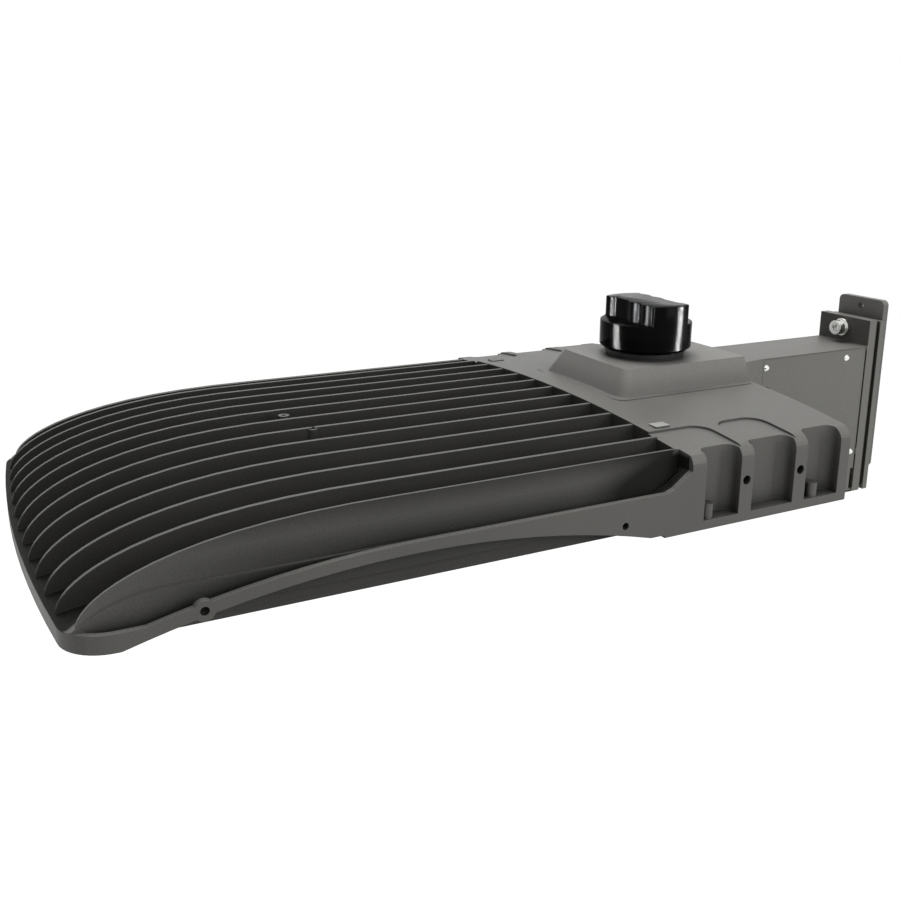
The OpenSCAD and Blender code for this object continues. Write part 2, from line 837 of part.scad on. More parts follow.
module housing_cavity() {
    // rebate for the door
    block([-recess_half, recess_front_y, -over], [recess_half, recess_rear_y, recess_depth]);
    intersection() {
        union() {
            block([-opening_half, opening_front_y, 0], [opening_half, opening_rear_y, roof_height]);
            block([-cavity_half, opening_front_y, band_height], [cavity_half, cavity_rear_y, roof_height]);
        }
        under_crown(roof_t);
    }
    // hollow under the pad
    block([-pad_hollow_half, pad_front_y + pad_front_slope + pad_wall, band_height],
        [pad_hollow_half, seat_y - pad_rear_wall, pad_height - pad_wall]);
    for (side = [-1, 1]) {
        block([side * hinge_spacing / 2 - hinge_eye_width / 2 - door_gap, door_rear_y - door_gap, -over],
            [side * hinge_spacing / 2 + hinge_eye_width / 2 + door_gap, hinge_y + hinge_eye_r + door_gap,
                hinge_z + hinge_eye_r + door_gap]);
        rod_x(hinge_pin_r + fit, hinge_pin_length + over, side * hinge_spacing / 2, hinge_y, hinge_z);
    }
}

function frame_screw_spots() = concat(
    [for (x = [-1, 0, 1], y = [-1, 0, 1]) if (x != 0 || y != 0)
        [x * (bay_inner_half - boss_row),
            bay_mid_y + y * (bay_inner_rear - bay_inner_front - 2 * boss_row) / 2]],
    [[0, bay_mid_y]]);

module frame_bosses() {
    for (spot = frame_screw_spots())
        rod_z(frame_boss_r, bay_foot + seal_t, bay_height + over, spot[0], spot[1]);
}

module optics_bay() {
    difference() {
        block([-bay_inner_half, bay_inner_front, under_height - over],
            [bay_inner_half, bay_inner_rear, bay_height]);
        frame_bosses();
    }
    // the lens frame sits under the bay's wall
    block([-bay_half - clear, bay_front_y - clear, under_height - over],
        [bay_half + clear, bay_rear_y + clear, bay_foot]);
    for (spot = frame_screw_spots())
        rod_z(frame_screw_r + fit, bay_foot, frame_z + frame_screw_length, spot[0], spot[1]);
}

function driver_spots() = [for (side = [-1, 1]) [side * (driver_size[0] + driver_tab) / 2, driver_y]];
function surge_spots() = [for (side = [-1, 1]) [surge_x + side * (surge_size[0] + surge_tab) / 2, surge_y]];

module ceiling_bosses() {
    for (spot = concat(driver_spots(), surge_spots()))
        rod_z(boss_r, driver_top, roof_under(spot[0]) + over, spot[0], spot[1]);
}

module accessory_holes() {
    for (side = [-1, 1]) {
        for (i = [0, 1])
            rod_x(rib_hole_r, 2 * rib_hole_depth, side * half_width,
                pocket_front_y(i + 1) - pocket_rib / 2, rib_hole_z);
        rod_x(rim_hole_r, 2 * rim_hole_depth, side * half_width,
            nose_y + rim_hole_front_gap, rim_hole_z_front);
        rod_x(rim_hole_r, 2 * rim_hole_depth, side * half_width,
            roof_front_y - rim_hole_rear_gap, rim_hole_z_rear);
    }
}

module main_casting() {
    on_pole() color(casting_paint) difference() {
        union() {
            difference() {
                union() {
                    sink_base();
                    rims();
                    housing_body();
                }
                for (side = [0, 1]) mirror([side, 0, 0]) {
                    for (i = [0:len(pocket_shares) - 1]) side_pocket(i);
                    for (i = [0:dished_pockets - 1]) roof_dish(i);
                }
                valley();
                groove_end();
                // the arch under each rim
                side_zones(bay_half) arch_disc(arch_r);
                housing_cavity();
                optics_bay();
            }
            fins();
            fin_lugs();
            groove_ramps();
            rim_bosses();
            difference() {
                pad_body();
                block([-pad_hollow_half, pad_front_y + pad_front_slope + pad_wall, 0],
                    [pad_hollow_half, seat_y - pad_rear_wall, pad_height - pad_wall]);
            }
            intersection() {
                ceiling_bosses();
                under_crown(over);
            }
            for (side = [0, 1]) mirror([side, 0, 0]) pocket_bosses();
        }
        accessory_holes();
        lug_bores();
        for (spot = board_spots())
            rod_z(board_screw_r + fit, bay_height - over, bay_height + board_screw_bite + clear,
                spot[0], spot[1]);
        // flat seat for the arm, its two bolts and its wire way
        block([-neck_foot_width / 2 - over, seat_y, -over], [neck_foot_width / 2 + over, over, pad_height]);
        for (side = [-1, 1])
            rod_y(arm_bolt_r + clear, seat_y - pad_rear_wall - over, seat_y + over,
                side * arm_bolt_x, arm_bolt_z);
        rod_y(neck_way_r, seat_y - pad_rear_wall - over, seat_y + over, 0, arm_bolt_z);
        rod_z(receptacle_hole_r, pad_height - pad_wall - over, pad_height + over, 0, receptacle_y);
        rod_y(wire_way_r, bay_inner_rear - over, opening_front_y + over, 0, wire_way_z);
        for (side = [-1, 1])
            rod_z(door_screw_r + door_gap, 0, door_screw_top + over, side * door_screw_x, door_screw_y);
        for (spot = concat(driver_spots(), surge_spots()))
            rod_z(screw_r + fit, driver_top - over, driver_top + screw_bite + clear, spot[0], spot[1]);
    }
}

module each_plate() {
    for (x = [-1, 1], y = [-1, 1])
        translate([x * plate_x, bay_mid_y + y * plate_row_y, 0]) children();
}

module each_lens() {
    for (i = [0:lens_count - 1], j = [0:lens_count - 1])
        translate([(i - (lens_count - 1) / 2) * lens_pitch_x, (j - (lens_count - 1) / 2) * lens_pitch_y, 0])
            children();
}

function board_spots() = [for (x = [-1, 1], y = [-1, 1], i = [-1, 1], j = [-1, 1])
    [x * plate_x + i * (plate_width / 2 - board_screw_margin),
        bay_mid_y + y * plate_row_y + j * (plate_length / 2 - board_screw_margin)]];

module led_boards() {
    on_pole() color(board_white) difference() {
        each_plate() translate([0, 0, board_z]) linear_extrude(height = board_t)
            round_rect(plate_width - 2 * board_inset, plate_length - 2 * board_inset, plate_r);
        for (spot = board_spots())
            rod_z(board_screw_r + fit, board_z - over, bay_height + over, spot[0], spot[1]);
    }
}

module board_screws() {
    on_pole() color(steel) for (spot = board_spots()) {
        rod_z(board_screw_r, board_z - fit, bay_height + board_screw_bite, spot[0], spot[1]);
        rod_z(board_screw_head_r, board_z - board_screw_head_t, board_z, spot[0], spot[1]);
    }
}

module led_chips() {
    on_pole() color(chip_yellow) each_plate() each_lens()
        translate([-chip_side / 2, -chip_side / 2, board_z - chip_t]) cube([chip_side, chip_side, chip_t]);
}

module lens_plates() {
    on_pole() color(clear_plastic) each_plate() {
        translate([0, 0, bay_foot]) linear_extrude(height = lens_plate_t)
            round_rect(plate_width, plate_length, plate_r);
        each_lens() intersection() {
            translate([0, 0, bay_foot - lens_rise + lens_ball_r]) sphere(r = lens_ball_r, $fn = bore_fn);
            translate([0, 0, bay_foot - lens_rise]) cylinder(h = lens_rise + over, r = lens_r, $fn = bore_fn);
        }
    }
}

module lens_seal() {
    on_pole() color(rubber) translate([0, bay_mid_y, bay_foot]) linear_extrude(height = seal_t) difference() {
        square([2 * bay_inner_half - fit, bay_inner_rear - bay_inner_front - fit], center = true);
        for (x = [-1, 1], y = [-1, 1]) translate([x * plate_x, y * plate_row_y])
            round_rect(plate_width + clear, plate_length + clear, plate_r);
        for (spot = frame_screw_spots())
            translate([spot[0], spot[1] - bay_mid_y]) circle(r = frame_screw_r + clear, $fn = bore_fn);
    }
}

module lens_frame() {
    on_pole() color(dark_paint) difference() {
        translate([0, bay_mid_y, frame_z]) linear_extrude(height = frame_t) difference() {
            round_rect(2 * bay_half, bay_rear_y - bay_front_y, bay_wall);
            for (x = [-1, 1], y = [-1, 1]) translate([x * plate_x, y * plate_row_y])
                round_rect(plate_width - 2 * frame_lap, plate_length - 2 * frame_lap, plate_r);
        }
        for (spot = frame_screw_spots()) {
            rod_z(frame_screw_r + clear, frame_z - over, bay_foot + over, spot[0], spot[1]);
            rod_z(frame_head_r + clear, frame_z - over, frame_z + frame_head_t, spot[0], spot[1]);
        }
    }
}

module lens_frame_screws() {
    on_pole() color(steel) for (spot = frame_screw_spots()) difference() {
        union() {
            rod_z(frame_screw_r, frame_z, frame_z + frame_screw_length - clear, spot[0], spot[1]);
            rod_z(frame_head_r, frame_z, frame_z + frame_head_t, spot[0], spot[1]);
        }
        translate([spot[0], spot[1], frame_z - over]) hex_hole(frame_head_r / 2, frame_head_t / 2);
    }
}

// Plan of the door, and of the space inside its seal
module door_plan(inset) {
    low_y = recess_front_y + door_gap;
    translate([0, (low_y + door_rear_y) / 2])
        round_rect(2 * (recess_half - door_gap - inset), door_rear_y - low_y - 2 * inset, plate_r);
}

module driver_door() {
    on_pole() color(casting_paint) difference() {
        union() {
            translate([0, 0, door_gap]) linear_extrude(height = door_t) door_plan(0);
            // stiffening ribs, inside the seal
            translate([0, 0, door_gap + door_t - fit]) linear_extrude(height = rib_height) difference() {
                door_plan(door_ledge + 2 * rib_t);
                door_plan(door_ledge + 3 * rib_t);
            }
            for (side = [-1, 1]) {
                block([side * hinge_spacing / 2 - hinge_eye_width / 2, door_rear_y - door_ledge / 2, door_gap],
                    [side * hinge_spacing / 2 + hinge_eye_width / 2, hinge_y, door_gap + door_t]);
                rod_x(hinge_eye_r, hinge_eye_width, side * hinge_spacing / 2, hinge_y, hinge_z);
            }
            // lip to pull the door open by
            translate([0, recess_front_y + door_gap + door_ledge / 2, 0])
                linear_extrude(height = door_gap + over) round_rect(2 * door_pull, door_ledge / 2, rib_t / 2);
        }
        for (side = [-1, 1]) {
            rod_x(hinge_pin_r + fit, hinge_eye_width + over, side * hinge_spacing / 2, hinge_y, hinge_z);
            rod_z(door_screw_r + fit, 0, door_gap + door_t + over, side * door_screw_x, door_screw_y);
        }
        rod_z(vent_thread_r + fit, 0, door_gap + door_t + over, vent_x, vent_y);
    }
}

module door_seal() {
    low_y = recess_front_y + door_gap;
    on_pole() color(rubber) translate([0, 0, door_gap + door_t]) linear_extrude(height = door_seal_t)
        difference() {
            door_plan(over);
            door_plan(door_ledge);
            for (side = [-1, 1]) translate([side * door_screw_x, door_screw_y])
                circle(r = door_screw_r + clear, $fn = bore_fn);
        }
}

module door_screws() {
    on_pole() color(steel) for (side = [-1, 1]) difference() {
        union() {
            rod_z(door_screw_r, -screw_head_t, door_screw_top, side * door_screw_x, door_screw_y);
            rod_z(2 * door_screw_r, -screw_head_t, door_gap, side * door_screw_x, door_screw_y);
        }
        translate([side * door_screw_x, door_screw_y, -screw_head_t - over])
            hex_hole(door_screw_r, screw_head_t / 2);
    }
}

module hinge_pins() {
    on_pole() color(steel) for (side = [-1, 1])
        rod_x(hinge_pin_r, hinge_pin_length, side * hinge_spacing / 2, hinge_y, hinge_z);
}

module breather_vent() {
    on_pole() color(black_plastic) {
        rod_z(vent_r, door_gap - vent_t, door_gap, vent_x, vent_y);
        rod_z(vent_thread_r, door_gap - over, door_gap + door_t + vent_t, vent_x, vent_y);
    }
}

// A box with round corners that hangs from two tabs
module tabbed_box(size, tab, x, y, top) {
    translate([x, y, top - size[2]]) linear_extrude(height = size[2])
        round_rect(size[0], size[1], driver_corner_r);
    difference() {
        translate([x, y, top - driver_tab_t]) linear_extrude(height = driver_tab_t)
            round_rect(size[0] + 2 * tab, 2 * boss_r, boss_r - over);
        for (side = [-1, 1])
            rod_z(screw_r + fit, top - driver_tab_t - over, top + over, x + side * (size[0] + tab) / 2, y);
    }
}

module led_driver() {
    on_pole() color(steel) tabbed_box(driver_size, driver_tab, 0, driver_y, driver_top);
}

module surge_protector() {
    on_pole() color(black_plastic) tabbed_box(surge_size, surge_tab, surge_x, surge_y, driver_top);
}

module driver_screws() {
    tab_z = driver_top - driver_tab_t;
    on_pole() color(steel) for (spot = concat(driver_spots(), surge_spots())) {
        rod_z(screw_r, tab_z - over, driver_top + screw_bite, spot[0], spot[1]);
        rod_z(screw_head_r, tab_z - screw_head_t, tab_z, spot[0], spot[1]);
    }
}

// Bush for the wires between the optics bay and the housing
module wire_bush() {
    on_pole() color(rubber) difference() {
        union() {
            rod_y(wire_way_r - fit, bay_inner_rear - clear, opening_front_y, 0, wire_way_z);
            intersection() {
                rod_y(wire_way_r + grommet_lip, opening_front_y, opening_front_y + grommet_lip, 0, wire_way_z);
                block([-cavity_half, opening_front_y, recess_depth], [cavity_half, seat_y, roof_height]);
            }
        }
        rod_y(wire_way_r - wire_bush_wall, bay_inner_rear - over, opening_front_y + grommet_lip + over,
            0, wire_way_z);
    }
}

module receptacle_gasket() {
    on_pole() color(rubber) difference() {
        rod_z(receptacle_flange_r - over, pad_height, flange_z, 0, receptacle_y);
        rod_z(receptacle_hole_r, pad_height - over, flange_z + over, 0, receptacle_y);
    }
}

// Sector of a ring, drawn flat about the receptacle's axis
module arc_band(mid_r, t, start, turn) {
    rotate([0, 0, start]) rotate_extrude(angle = turn, $fn = round_fn)
        translate([mid_r - t / 2, 0]) children();
}

module receptacle_body() {
    on_pole() color(black_plastic) difference() {
        union() {
            rod_z(receptacle_flange_r, flange_z, socket_top, 0, receptacle_y);
            rod_z(receptacle_r, pad_height - receptacle_depth, flange_z + over, 0, receptacle_y);
        }
        for (i = [0:len(blade_places) - 1])
            translate([0, receptacle_y, socket_top - slot_depth])
                arc_band(blade_circle_r, blade_t + 2 * slot_gap + 2 * contact_t,
                    blade_places[i] - blade_arcs[i] / 2 - slot_slack,
                    blade_arcs[i] + 2 * slot_slack + lock_turn)
                    square([blade_t + 2 * slot_gap + 2 * contact_t, slot_depth + over]);
    }
}

module receptacle_contacts() {
    inner_r = blade_circle_r - blade_t / 2 - slot_gap - contact_t / 2;
    on_pole() color(brass) for (i = [0:len(blade_places) - 1])
        translate([0, receptacle_y, socket_top - slot_depth])
            arc_band(inner_r, contact_t, blade_places[i] - blade_arcs[i] / 2, blade_arcs[i])
                square([contact_t, contact_height]);
}

module receptacle_nut() {
    nut_top = pad_height - pad_wall - fit;
    on_pole() color(black_plastic) difference() {
        translate([0, receptacle_y, nut_top - nut_t]) cylinder(h = nut_t, r = nut_r, $fn = 8);
        rod_z(receptacle_r + fit, nut_top - nut_t - over, nut_top + over, 0, receptacle_y);
    }
}

// Outline of the cap's grip, about the cap's axis
module grip_plan() {
    rotate([0, 0, grip_turn]) intersection() {
        circle(r = cap_top_r, $fn = round_fn);
        union() {
            square([2 * cap_r, grip_width - 2 * grip_corner_r], center = true);
            for (share = grip_lobe_shares, side = [-1, 1])
                translate([share * (cap_top_r - grip_lobe_r / 2), side * (grip_width / 2 - grip_lobe_r)])
                    circle(r = grip_lobe_r, $fn = round_fn);
        }
    }
}

module cap_shell() {
    on_pole() color(black_plastic) translate([0, receptacle_y, cap_z]) difference() {
        union() {
            cylinder(h = cap_foot_h, r = cap_foot_r, $fn = round_fn);
            translate([0, 0, cap_foot_h - over])
                cylinder(h = over, r1 = cap_foot_r, r2 = cap_r, $fn = round_fn);
            translate([0, 0, cap_foot_h])
                cylinder(h = cap_base_height - cap_foot_h, r = cap_r, $fn = round_fn);
            translate([0, 0, cap_base_height - over])
                linear_extrude(height = cap_height - cap_base_height + over) grip_plan();
        }
        translate([0, 0, -over])
            cylinder(h = cap_base_height - cap_wall + over, r = cap_bore_r, $fn = round_fn);
    }
}

// Disc that closes the cap and holds its blades
module cap_base() {
    on_pole() color(black_plastic) translate([0, receptacle_y, cap_z]) difference() {
        cylinder(h = cap_deck_t, r = cap_bore_r - fit, $fn = round_fn);
        translate([0, 0, -over]) {
            for (i = [0:len(blade_places) - 1])
                arc_band(blade_circle_r, blade_t + 2 * fit, blade_places[i] - blade_arcs[i] / 2 - fit,
                    blade_arcs[i] + 2 * fit)
                    square([blade_t + 2 * fit, cap_deck_t + 2 * over]);
            difference() {
                cylinder(h = cap_seal_t + over, r = cap_bore_r, $fn = round_fn);
                cylinder(h = cap_seal_t + over, r = cap_seal_r, $fn = round_fn);
            }
        }
    }
}

module cap_blades() {
    on_pole() color(brass) translate([0, receptacle_y, cap_z - blade_length])
        for (i = [0:len(blade_places) - 1])
            arc_band(blade_circle_r, blade_t, blade_places[i] - blade_arcs[i] / 2, blade_arcs[i])
                square([blade_t, blade_length + cap_deck_t + blade_head]);
}

// Strip that joins two of the blades inside the cap
module cap_bar() {
    start = blade_places[0] + blade_arcs[0] / 2;
    on_pole() color(brass) translate([0, receptacle_y, cap_z + cap_deck_t])
        arc_band(blade_circle_r, cap_bar_width, start, blade_places[1] - blade_arcs[1] / 2 - start)
            square([cap_bar_width, cap_bar_t]);
}

module cap_seal() {
    on_pole() color(rubber) translate([0, receptacle_y, cap_z]) difference() {
        cylinder(h = cap_seal_t, r = cap_bore_r - fit, $fn = round_fn);
        translate([0, 0, -over]) cylinder(h = cap_seal_t + 2 * over, r = cap_seal_r + fit, $fn = round_fn);
    }
}

// Side view of the arm's deep box, set in from its edge
module arm_box_side(inset, rear) {
    polygon([[neck_front_y + inset, arm_top - inset], [neck_front_y + inset, arm_front_foot + inset],
        [flange_front_y - flange_t, inset - arm_drop], [rear, inset - arm_drop], [rear, arm_top - inset]]);
}

// Side view of the whole arm, set in from its edge
module arm_side(inset, rear) {
    arm_box_side(inset, rear);
    translate([seat_y + inset, neck_under + inset])
        square([neck_length + over, arm_top - neck_under - 2 * inset]);
    // round corner under the neck
    translate([neck_front_y + inset, neck_under + inset]) difference() {
        translate([-neck_r, -neck_r]) square([neck_r + over, neck_r + over]);
        translate([-neck_r, -neck_r]) circle(r = neck_r, $fn = round_fn);
    }
}

// Plan of the arm, which flares out to the housing
module arm_plan() {
    flare = neck_foot_width / 2 - arm_half;
    flare_r = (flare_length * flare_length + flare * flare) / (2 * flare);
    translate([-arm_half, seat_y]) square([arm_width, flange_y - seat_y]);
    for (side = [0, 1]) mirror([side, 0]) difference() {
        translate([0, seat_y]) square([arm_half + flare + over, flare_length]);
        translate([arm_half + flare_r, seat_y + flare_length]) circle(r = flare_r, $fn = fine);
    }
}

// Outline of the arm's cavity, round its screw columns
module cavity_side() {
    difference() {
        arm_box_side(arm_wall, flange_front_y);
        for (point = cover_points) translate(point) circle(r = cover_boss_r, $fn = bore_fn);
    }
}

module arm_hollow() {
    difference() {
        across(arm_width, arm_wall) cavity_side();
        for (z = [-1, 1])
            rod_x(boss_r, 2 * post_rise, terminal_x, terminal_y, terminal_z + z * terminal_hole);
    }
}

module arm_casting() {
    on_pole() color(casting_paint) difference() {
        union() {
            intersection() {
                across(neck_foot_width + 4 * over) arm_side(0, flange_front_y + over);
                translate([0, 0, -arm_drop - over]) linear_extrude(height = arm_drop + arm_top + 2 * over)
                    arm_plan();
            }
            block([-arm_half, flange_front_y, -arm_drop], [arm_half, flange_y, block_top]);
        }
        arm_hollow();
        // rebate for the side cover
        intersection() {
            across(arm_width, casting_side + arm_half) arm_side(cover_gap, flange_front_y - cover_gap);
            block([casting_side, cover_front_y, -arm_drop - over], [arm_width, flange_front_y, arm_top]);
        }
        rod_y(neck_way_r, seat_y - over, arm_inner_front + over, 0, arm_bolt_z);
        for (side = [-1, 1])
            rod_y(arm_bolt_r + fit, seat_y - over, seat_y + arm_bolt_bite + clear,
                side * arm_bolt_x, arm_bolt_z);
        rod_y(wire_hole_r + grommet_lip, flange_front_y - over, flange_y + over, 0, mount_height);
        rod_y(clamp_r + clear, flange_front_y - over, flange_y + over, 0, clamp_z);
        for (side = [-1, 1], z = plate_screw_spots)
            rod_y(plate_screw_r + clear, flange_front_y - over, flange_y + over, side * plate_screw_x, z);
        for (point = cover_points)
            rod_x(cover_screw_r + fit, 2 * cover_screw_bite, casting_side, point[0], point[1]);
        for (z = [-1, 1])
            rod_x(screw_r + fit, 2 * post_bite + 2 * clear, terminal_x + post_rise, terminal_y,
                terminal_z + z * terminal_hole);
    }
}

module arm_bolts() {
    back = seat_y - pad_rear_wall;
    on_pole() color(steel) for (side = [-1, 1]) difference() {
        union() {
            rod_y(arm_bolt_r, back - over, seat_y + arm_bolt_bite, side * arm_bolt_x, arm_bolt_z);
            rod_y(arm_bolt_head_r, back - arm_bolt_head_t, back, side * arm_bolt_x, arm_bolt_z);
        }
        translate([side * arm_bolt_x, back - arm_bolt_head_t - over, arm_bolt_z]) rotate([-90, 0, 0])
            hex_hole(arm_bolt_head_r / 2, arm_bolt_head_t / 2);
    }
}

// Outline of the side cover, which ends before the flare
module cover_side(inset) {
    intersection() {
        arm_side(inset, flange_front_y - inset);
        translate([cover_front_y + inset, -arm_drop]) square([arm_length, arm_drop + arm_top]);
    }
}

module side_cover() {
    gap = cover_gap + clear;
    on_pole() color(casting_paint) difference() {
        across(cover_t, cover_face - cover_t / 2) cover_side(gap);
        for (point = cover_points) rod_x(cover_screw_r + fit, arm_width, arm_half, point[0], point[1]);
        // drain slot beside the flange
        block([casting_side, flange_front_y - gap - slot_width, slot_foot - arm_drop],
            [arm_half, flange_front_y, slot_foot + slot_height - arm_drop]);
    }
}

module side_cover_gasket() {
    gap = cover_gap + clear;
    on_pole() color(rubber) difference() {
        across(cover_gasket_t, casting_side + cover_gasket_t / 2) difference() {
            cover_side(gap);
            cavity_side();
        }
        for (point = cover_points) rod_x(cover_screw_r + fit, arm_width, arm_half, point[0], point[1]);
    }
}

module side_cover_screws() {
    bite = cover_screw_bite - clear;
    on_pole() color(steel) for (point = cover_points) {
        translate([casting_side - bite, point[0], point[1]]) rotate([0, 90, 0])
            cylinder(h = bite + cover_gasket_t + cover_t + over, r = cover_screw_r, $fn = bore_fn);
        translate([cover_face, point[0], point[1]]) rotate([0, 90, 0])
            cylinder(h = cover_screw_head_t, r1 = cover_screw_head_r, r2 = cover_screw_r, $fn = bore_fn);
    }
}

module terminal_block() {
    low = [terminal_x + post_rise, terminal_y - terminal_size[1] / 2, terminal_z - terminal_size[2] / 2];
    pitch = terminal_size[1] / 3;
    on_pole() color(board_white) difference() {
        union() {
            block(low, low + terminal_size);
            block([low[0], terminal_y - boss_r, terminal_z - terminal_hole - boss_r],
                [low[0] + driver_tab_t, terminal_y + boss_r, terminal_z + terminal_hole + boss_r]);
        }
        for (i = [-1:1]) {
            translate([low[0] + driver_tab_t, terminal_y + (i - terminal_gap_share) * pitch, low[2] - over])
                cube([terminal_size[0], 2 * terminal_gap_share * pitch, terminal_size[2] / 4]);
            rod_x(screw_r, terminal_size[0], low[0] + terminal_size[0], terminal_y + i * pitch, terminal_z);
        }
        for (z = [-1, 1])
            rod_x(screw_r + fit, 4 * driver_tab_t, low[0], terminal_y, terminal_z + z * terminal_hole);
    }
}

module terminal_screws() {
    face = terminal_x + post_rise + driver_tab_t;
    bite = driver_tab_t + post_bite;
    on_pole() color(steel) for (z = [-1, 1]) translate([face, terminal_y, terminal_z + z * terminal_hole])
        rotate([0, 90, 0]) {
            translate([0, 0, -bite]) cylinder(h = bite + over, r = screw_r, $fn = bore_fn);
            cylinder(h = screw_head_t, r = screw_head_r, $fn = bore_fn);
        }
}

module flange_grommet() {
    front = flange_front_y - grommet_lip;
    on_pole() color(rubber) difference() {
        union() {
            rod_y(wire_hole_r + grommet_lip - fit, front, flange_y, 0, mount_height);
            rod_y(wire_hole_r + 2 * grommet_lip, front, flange_front_y - fit, 0, mount_height);
        }
        rod_y(wire_hole_r, front - over, flange_y + over, 0, mount_height);
    }
}

module mounting_plate() {
    on_pole() color(casting_paint) difference() {
        block([-arm_half, gasket_y, plate_foot], [arm_half, plate_y, plate_top]);
        for (side = [-1, 1]) {
            rod_y(bolt_window_r, gasket_y - over, plate_y + over,
                0, mount_height + side * pole_bolt_spacing / 2);
            for (z = plate_screw_spots)
                rod_y(plate_screw_r + fit, gasket_y - over, plate_y + over, side * plate_screw_x, z);
        }
        rod_y(wire_hole_r, gasket_y - over, plate_y + over, 0, mount_height);
        rod_y(clamp_r + clear, gasket_y - over, plate_y + over, 0, clamp_z);
        // keyhole that hangs on the bracket's stud
        rod_y(stud_r + stud_slack, gasket_y - over, plate_y + over, 0, stud_z);
        rod_y(keyhole_r, gasket_y - over, plate_y + over, 0, stud_z - keyhole_drop);
        block([-stud_r - stud_slack, gasket_y - over, stud_z - keyhole_drop],
            [stud_r + stud_slack, plate_y + over, stud_z]);
    }
}

module mount_gasket() {
    on_pole() color(rubber) difference() {
        block([gasket_edge - arm_half, flange_y, plate_foot + gasket_edge],
            [arm_half - gasket_edge, gasket_y, plate_top - gasket_top_gap]);
        block([-window_half, flange_y - over, window_foot], [window_half, gasket_y + over, window_top]);
        rod_y(clamp_r + clear, flange_y - over, gasket_y + over, 0, clamp_z);
        for (side = [-1, 1], z = plate_screw_spots)
            rod_y(plate_screw_r + clear, flange_y - over, gasket_y + over, side * plate_screw_x, z);
    }
}

module plate_screws() {
    on_pole() color(steel) for (side = [-1, 1], z = plate_screw_spots) difference() {
        union() {
            rod_y(plate_screw_r, flange_front_y - over, plate_y - fit, side * plate_screw_x, z);
            rod_y(plate_screw_head_r, flange_front_y - plate_screw_head_t, flange_front_y - fit,
                side * plate_screw_x, z);
        }
        translate([side * plate_screw_x, flange_front_y - plate_screw_head_t - over, z]) rotate([-90, 0, 0])
            hex_hole(plate_screw_head_r / 2, plate_screw_head_t / 2);
    }
}

module pole_bracket() {
    on_pole() color(dark_paint) difference() {
        translate([0, 0, (bracket_foot + bracket_top) / 2]) rotate([90, 0, 0])
            linear_extrude(height = bracket_t) round_rect(bracket_width, bracket_height, bracket_corner_r);
        for (side = [-1, 1])
            rod_y(pole_bolt_hole_r, plate_y - over, over, 0, mount_height + side * pole_bolt_spacing / 2);
        rod_y(wire_hole_r, plate_y - over, over, 0, mount_height);
        rod_y(tab_hole_r, plate_y - over, over, 0, bracket_top - tab_hole_drop);
        rod_y(clamp_r + fit, plate_y - over, over, 0, clamp_z);
        rod_y(stud_r + fit, plate_y - over, over, 0, stud_z);
    }
}

module hanger_stud() {
    head_y = gasket_y - stud_slack;
    on_pole() color(steel) {
        rod_y(stud_r, head_y - over, -clamp_tip_gap, 0, stud_z);
        rod_y(stud_head_r, head_y - stud_head_t, head_y, 0, stud_z);
    }
}

module clamp_screw() {
    head_y = flange_front_y - collar_t;
    on_pole() color(steel) difference() {
        union() {
            rod_y(clamp_r, head_y - over, -clamp_tip_gap, 0, clamp_z);
            rod_y(clamp_head_r, head_y - clamp_head_t, head_y - fit, 0, clamp_z);
        }
        translate([0, head_y - clamp_head_t - over, clamp_z]) rotate([-90, 0, 0])
            hex_hole(clamp_socket_r, clamp_socket_depth);
    }
}

module clamp_collar() {
    on_pole() color(steel) difference() {
        rod_y(collar_r, flange_front_y - collar_t, flange_front_y - fit, 0, clamp_z);
        rod_y(clamp_r + fit, flange_front_y - collar_t - over, flange_front_y + over, 0, clamp_z);
    }
}

main_casting();
led_boards();
led_chips();
board_screws();
lens_plates();
lens_seal();
lens_frame();
lens_frame_screws();
driver_door();
door_seal();
door_screws();
hinge_pins();
breather_vent();
led_driver();
surge_protector();
driver_screws();
wire_bush();
receptacle_gasket();
receptacle_body();
receptacle_contacts();
receptacle_nut();
cap_shell();
cap_base();
cap_blades();
cap_bar();
cap_seal();
arm_casting();
arm_bolts();
side_cover();
side_cover_gasket();
side_cover_screws();
terminal_block();
terminal_screws();
flange_grommet();
mounting_plate();
mount_gasket();
plate_screws();
pole_bracket();
hanger_stud();
clamp_screw();
clamp_collar();
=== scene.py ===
import json
from math import cos, pi, radians, sin

import bmesh
import bpy
from mathutils import Matrix, Vector


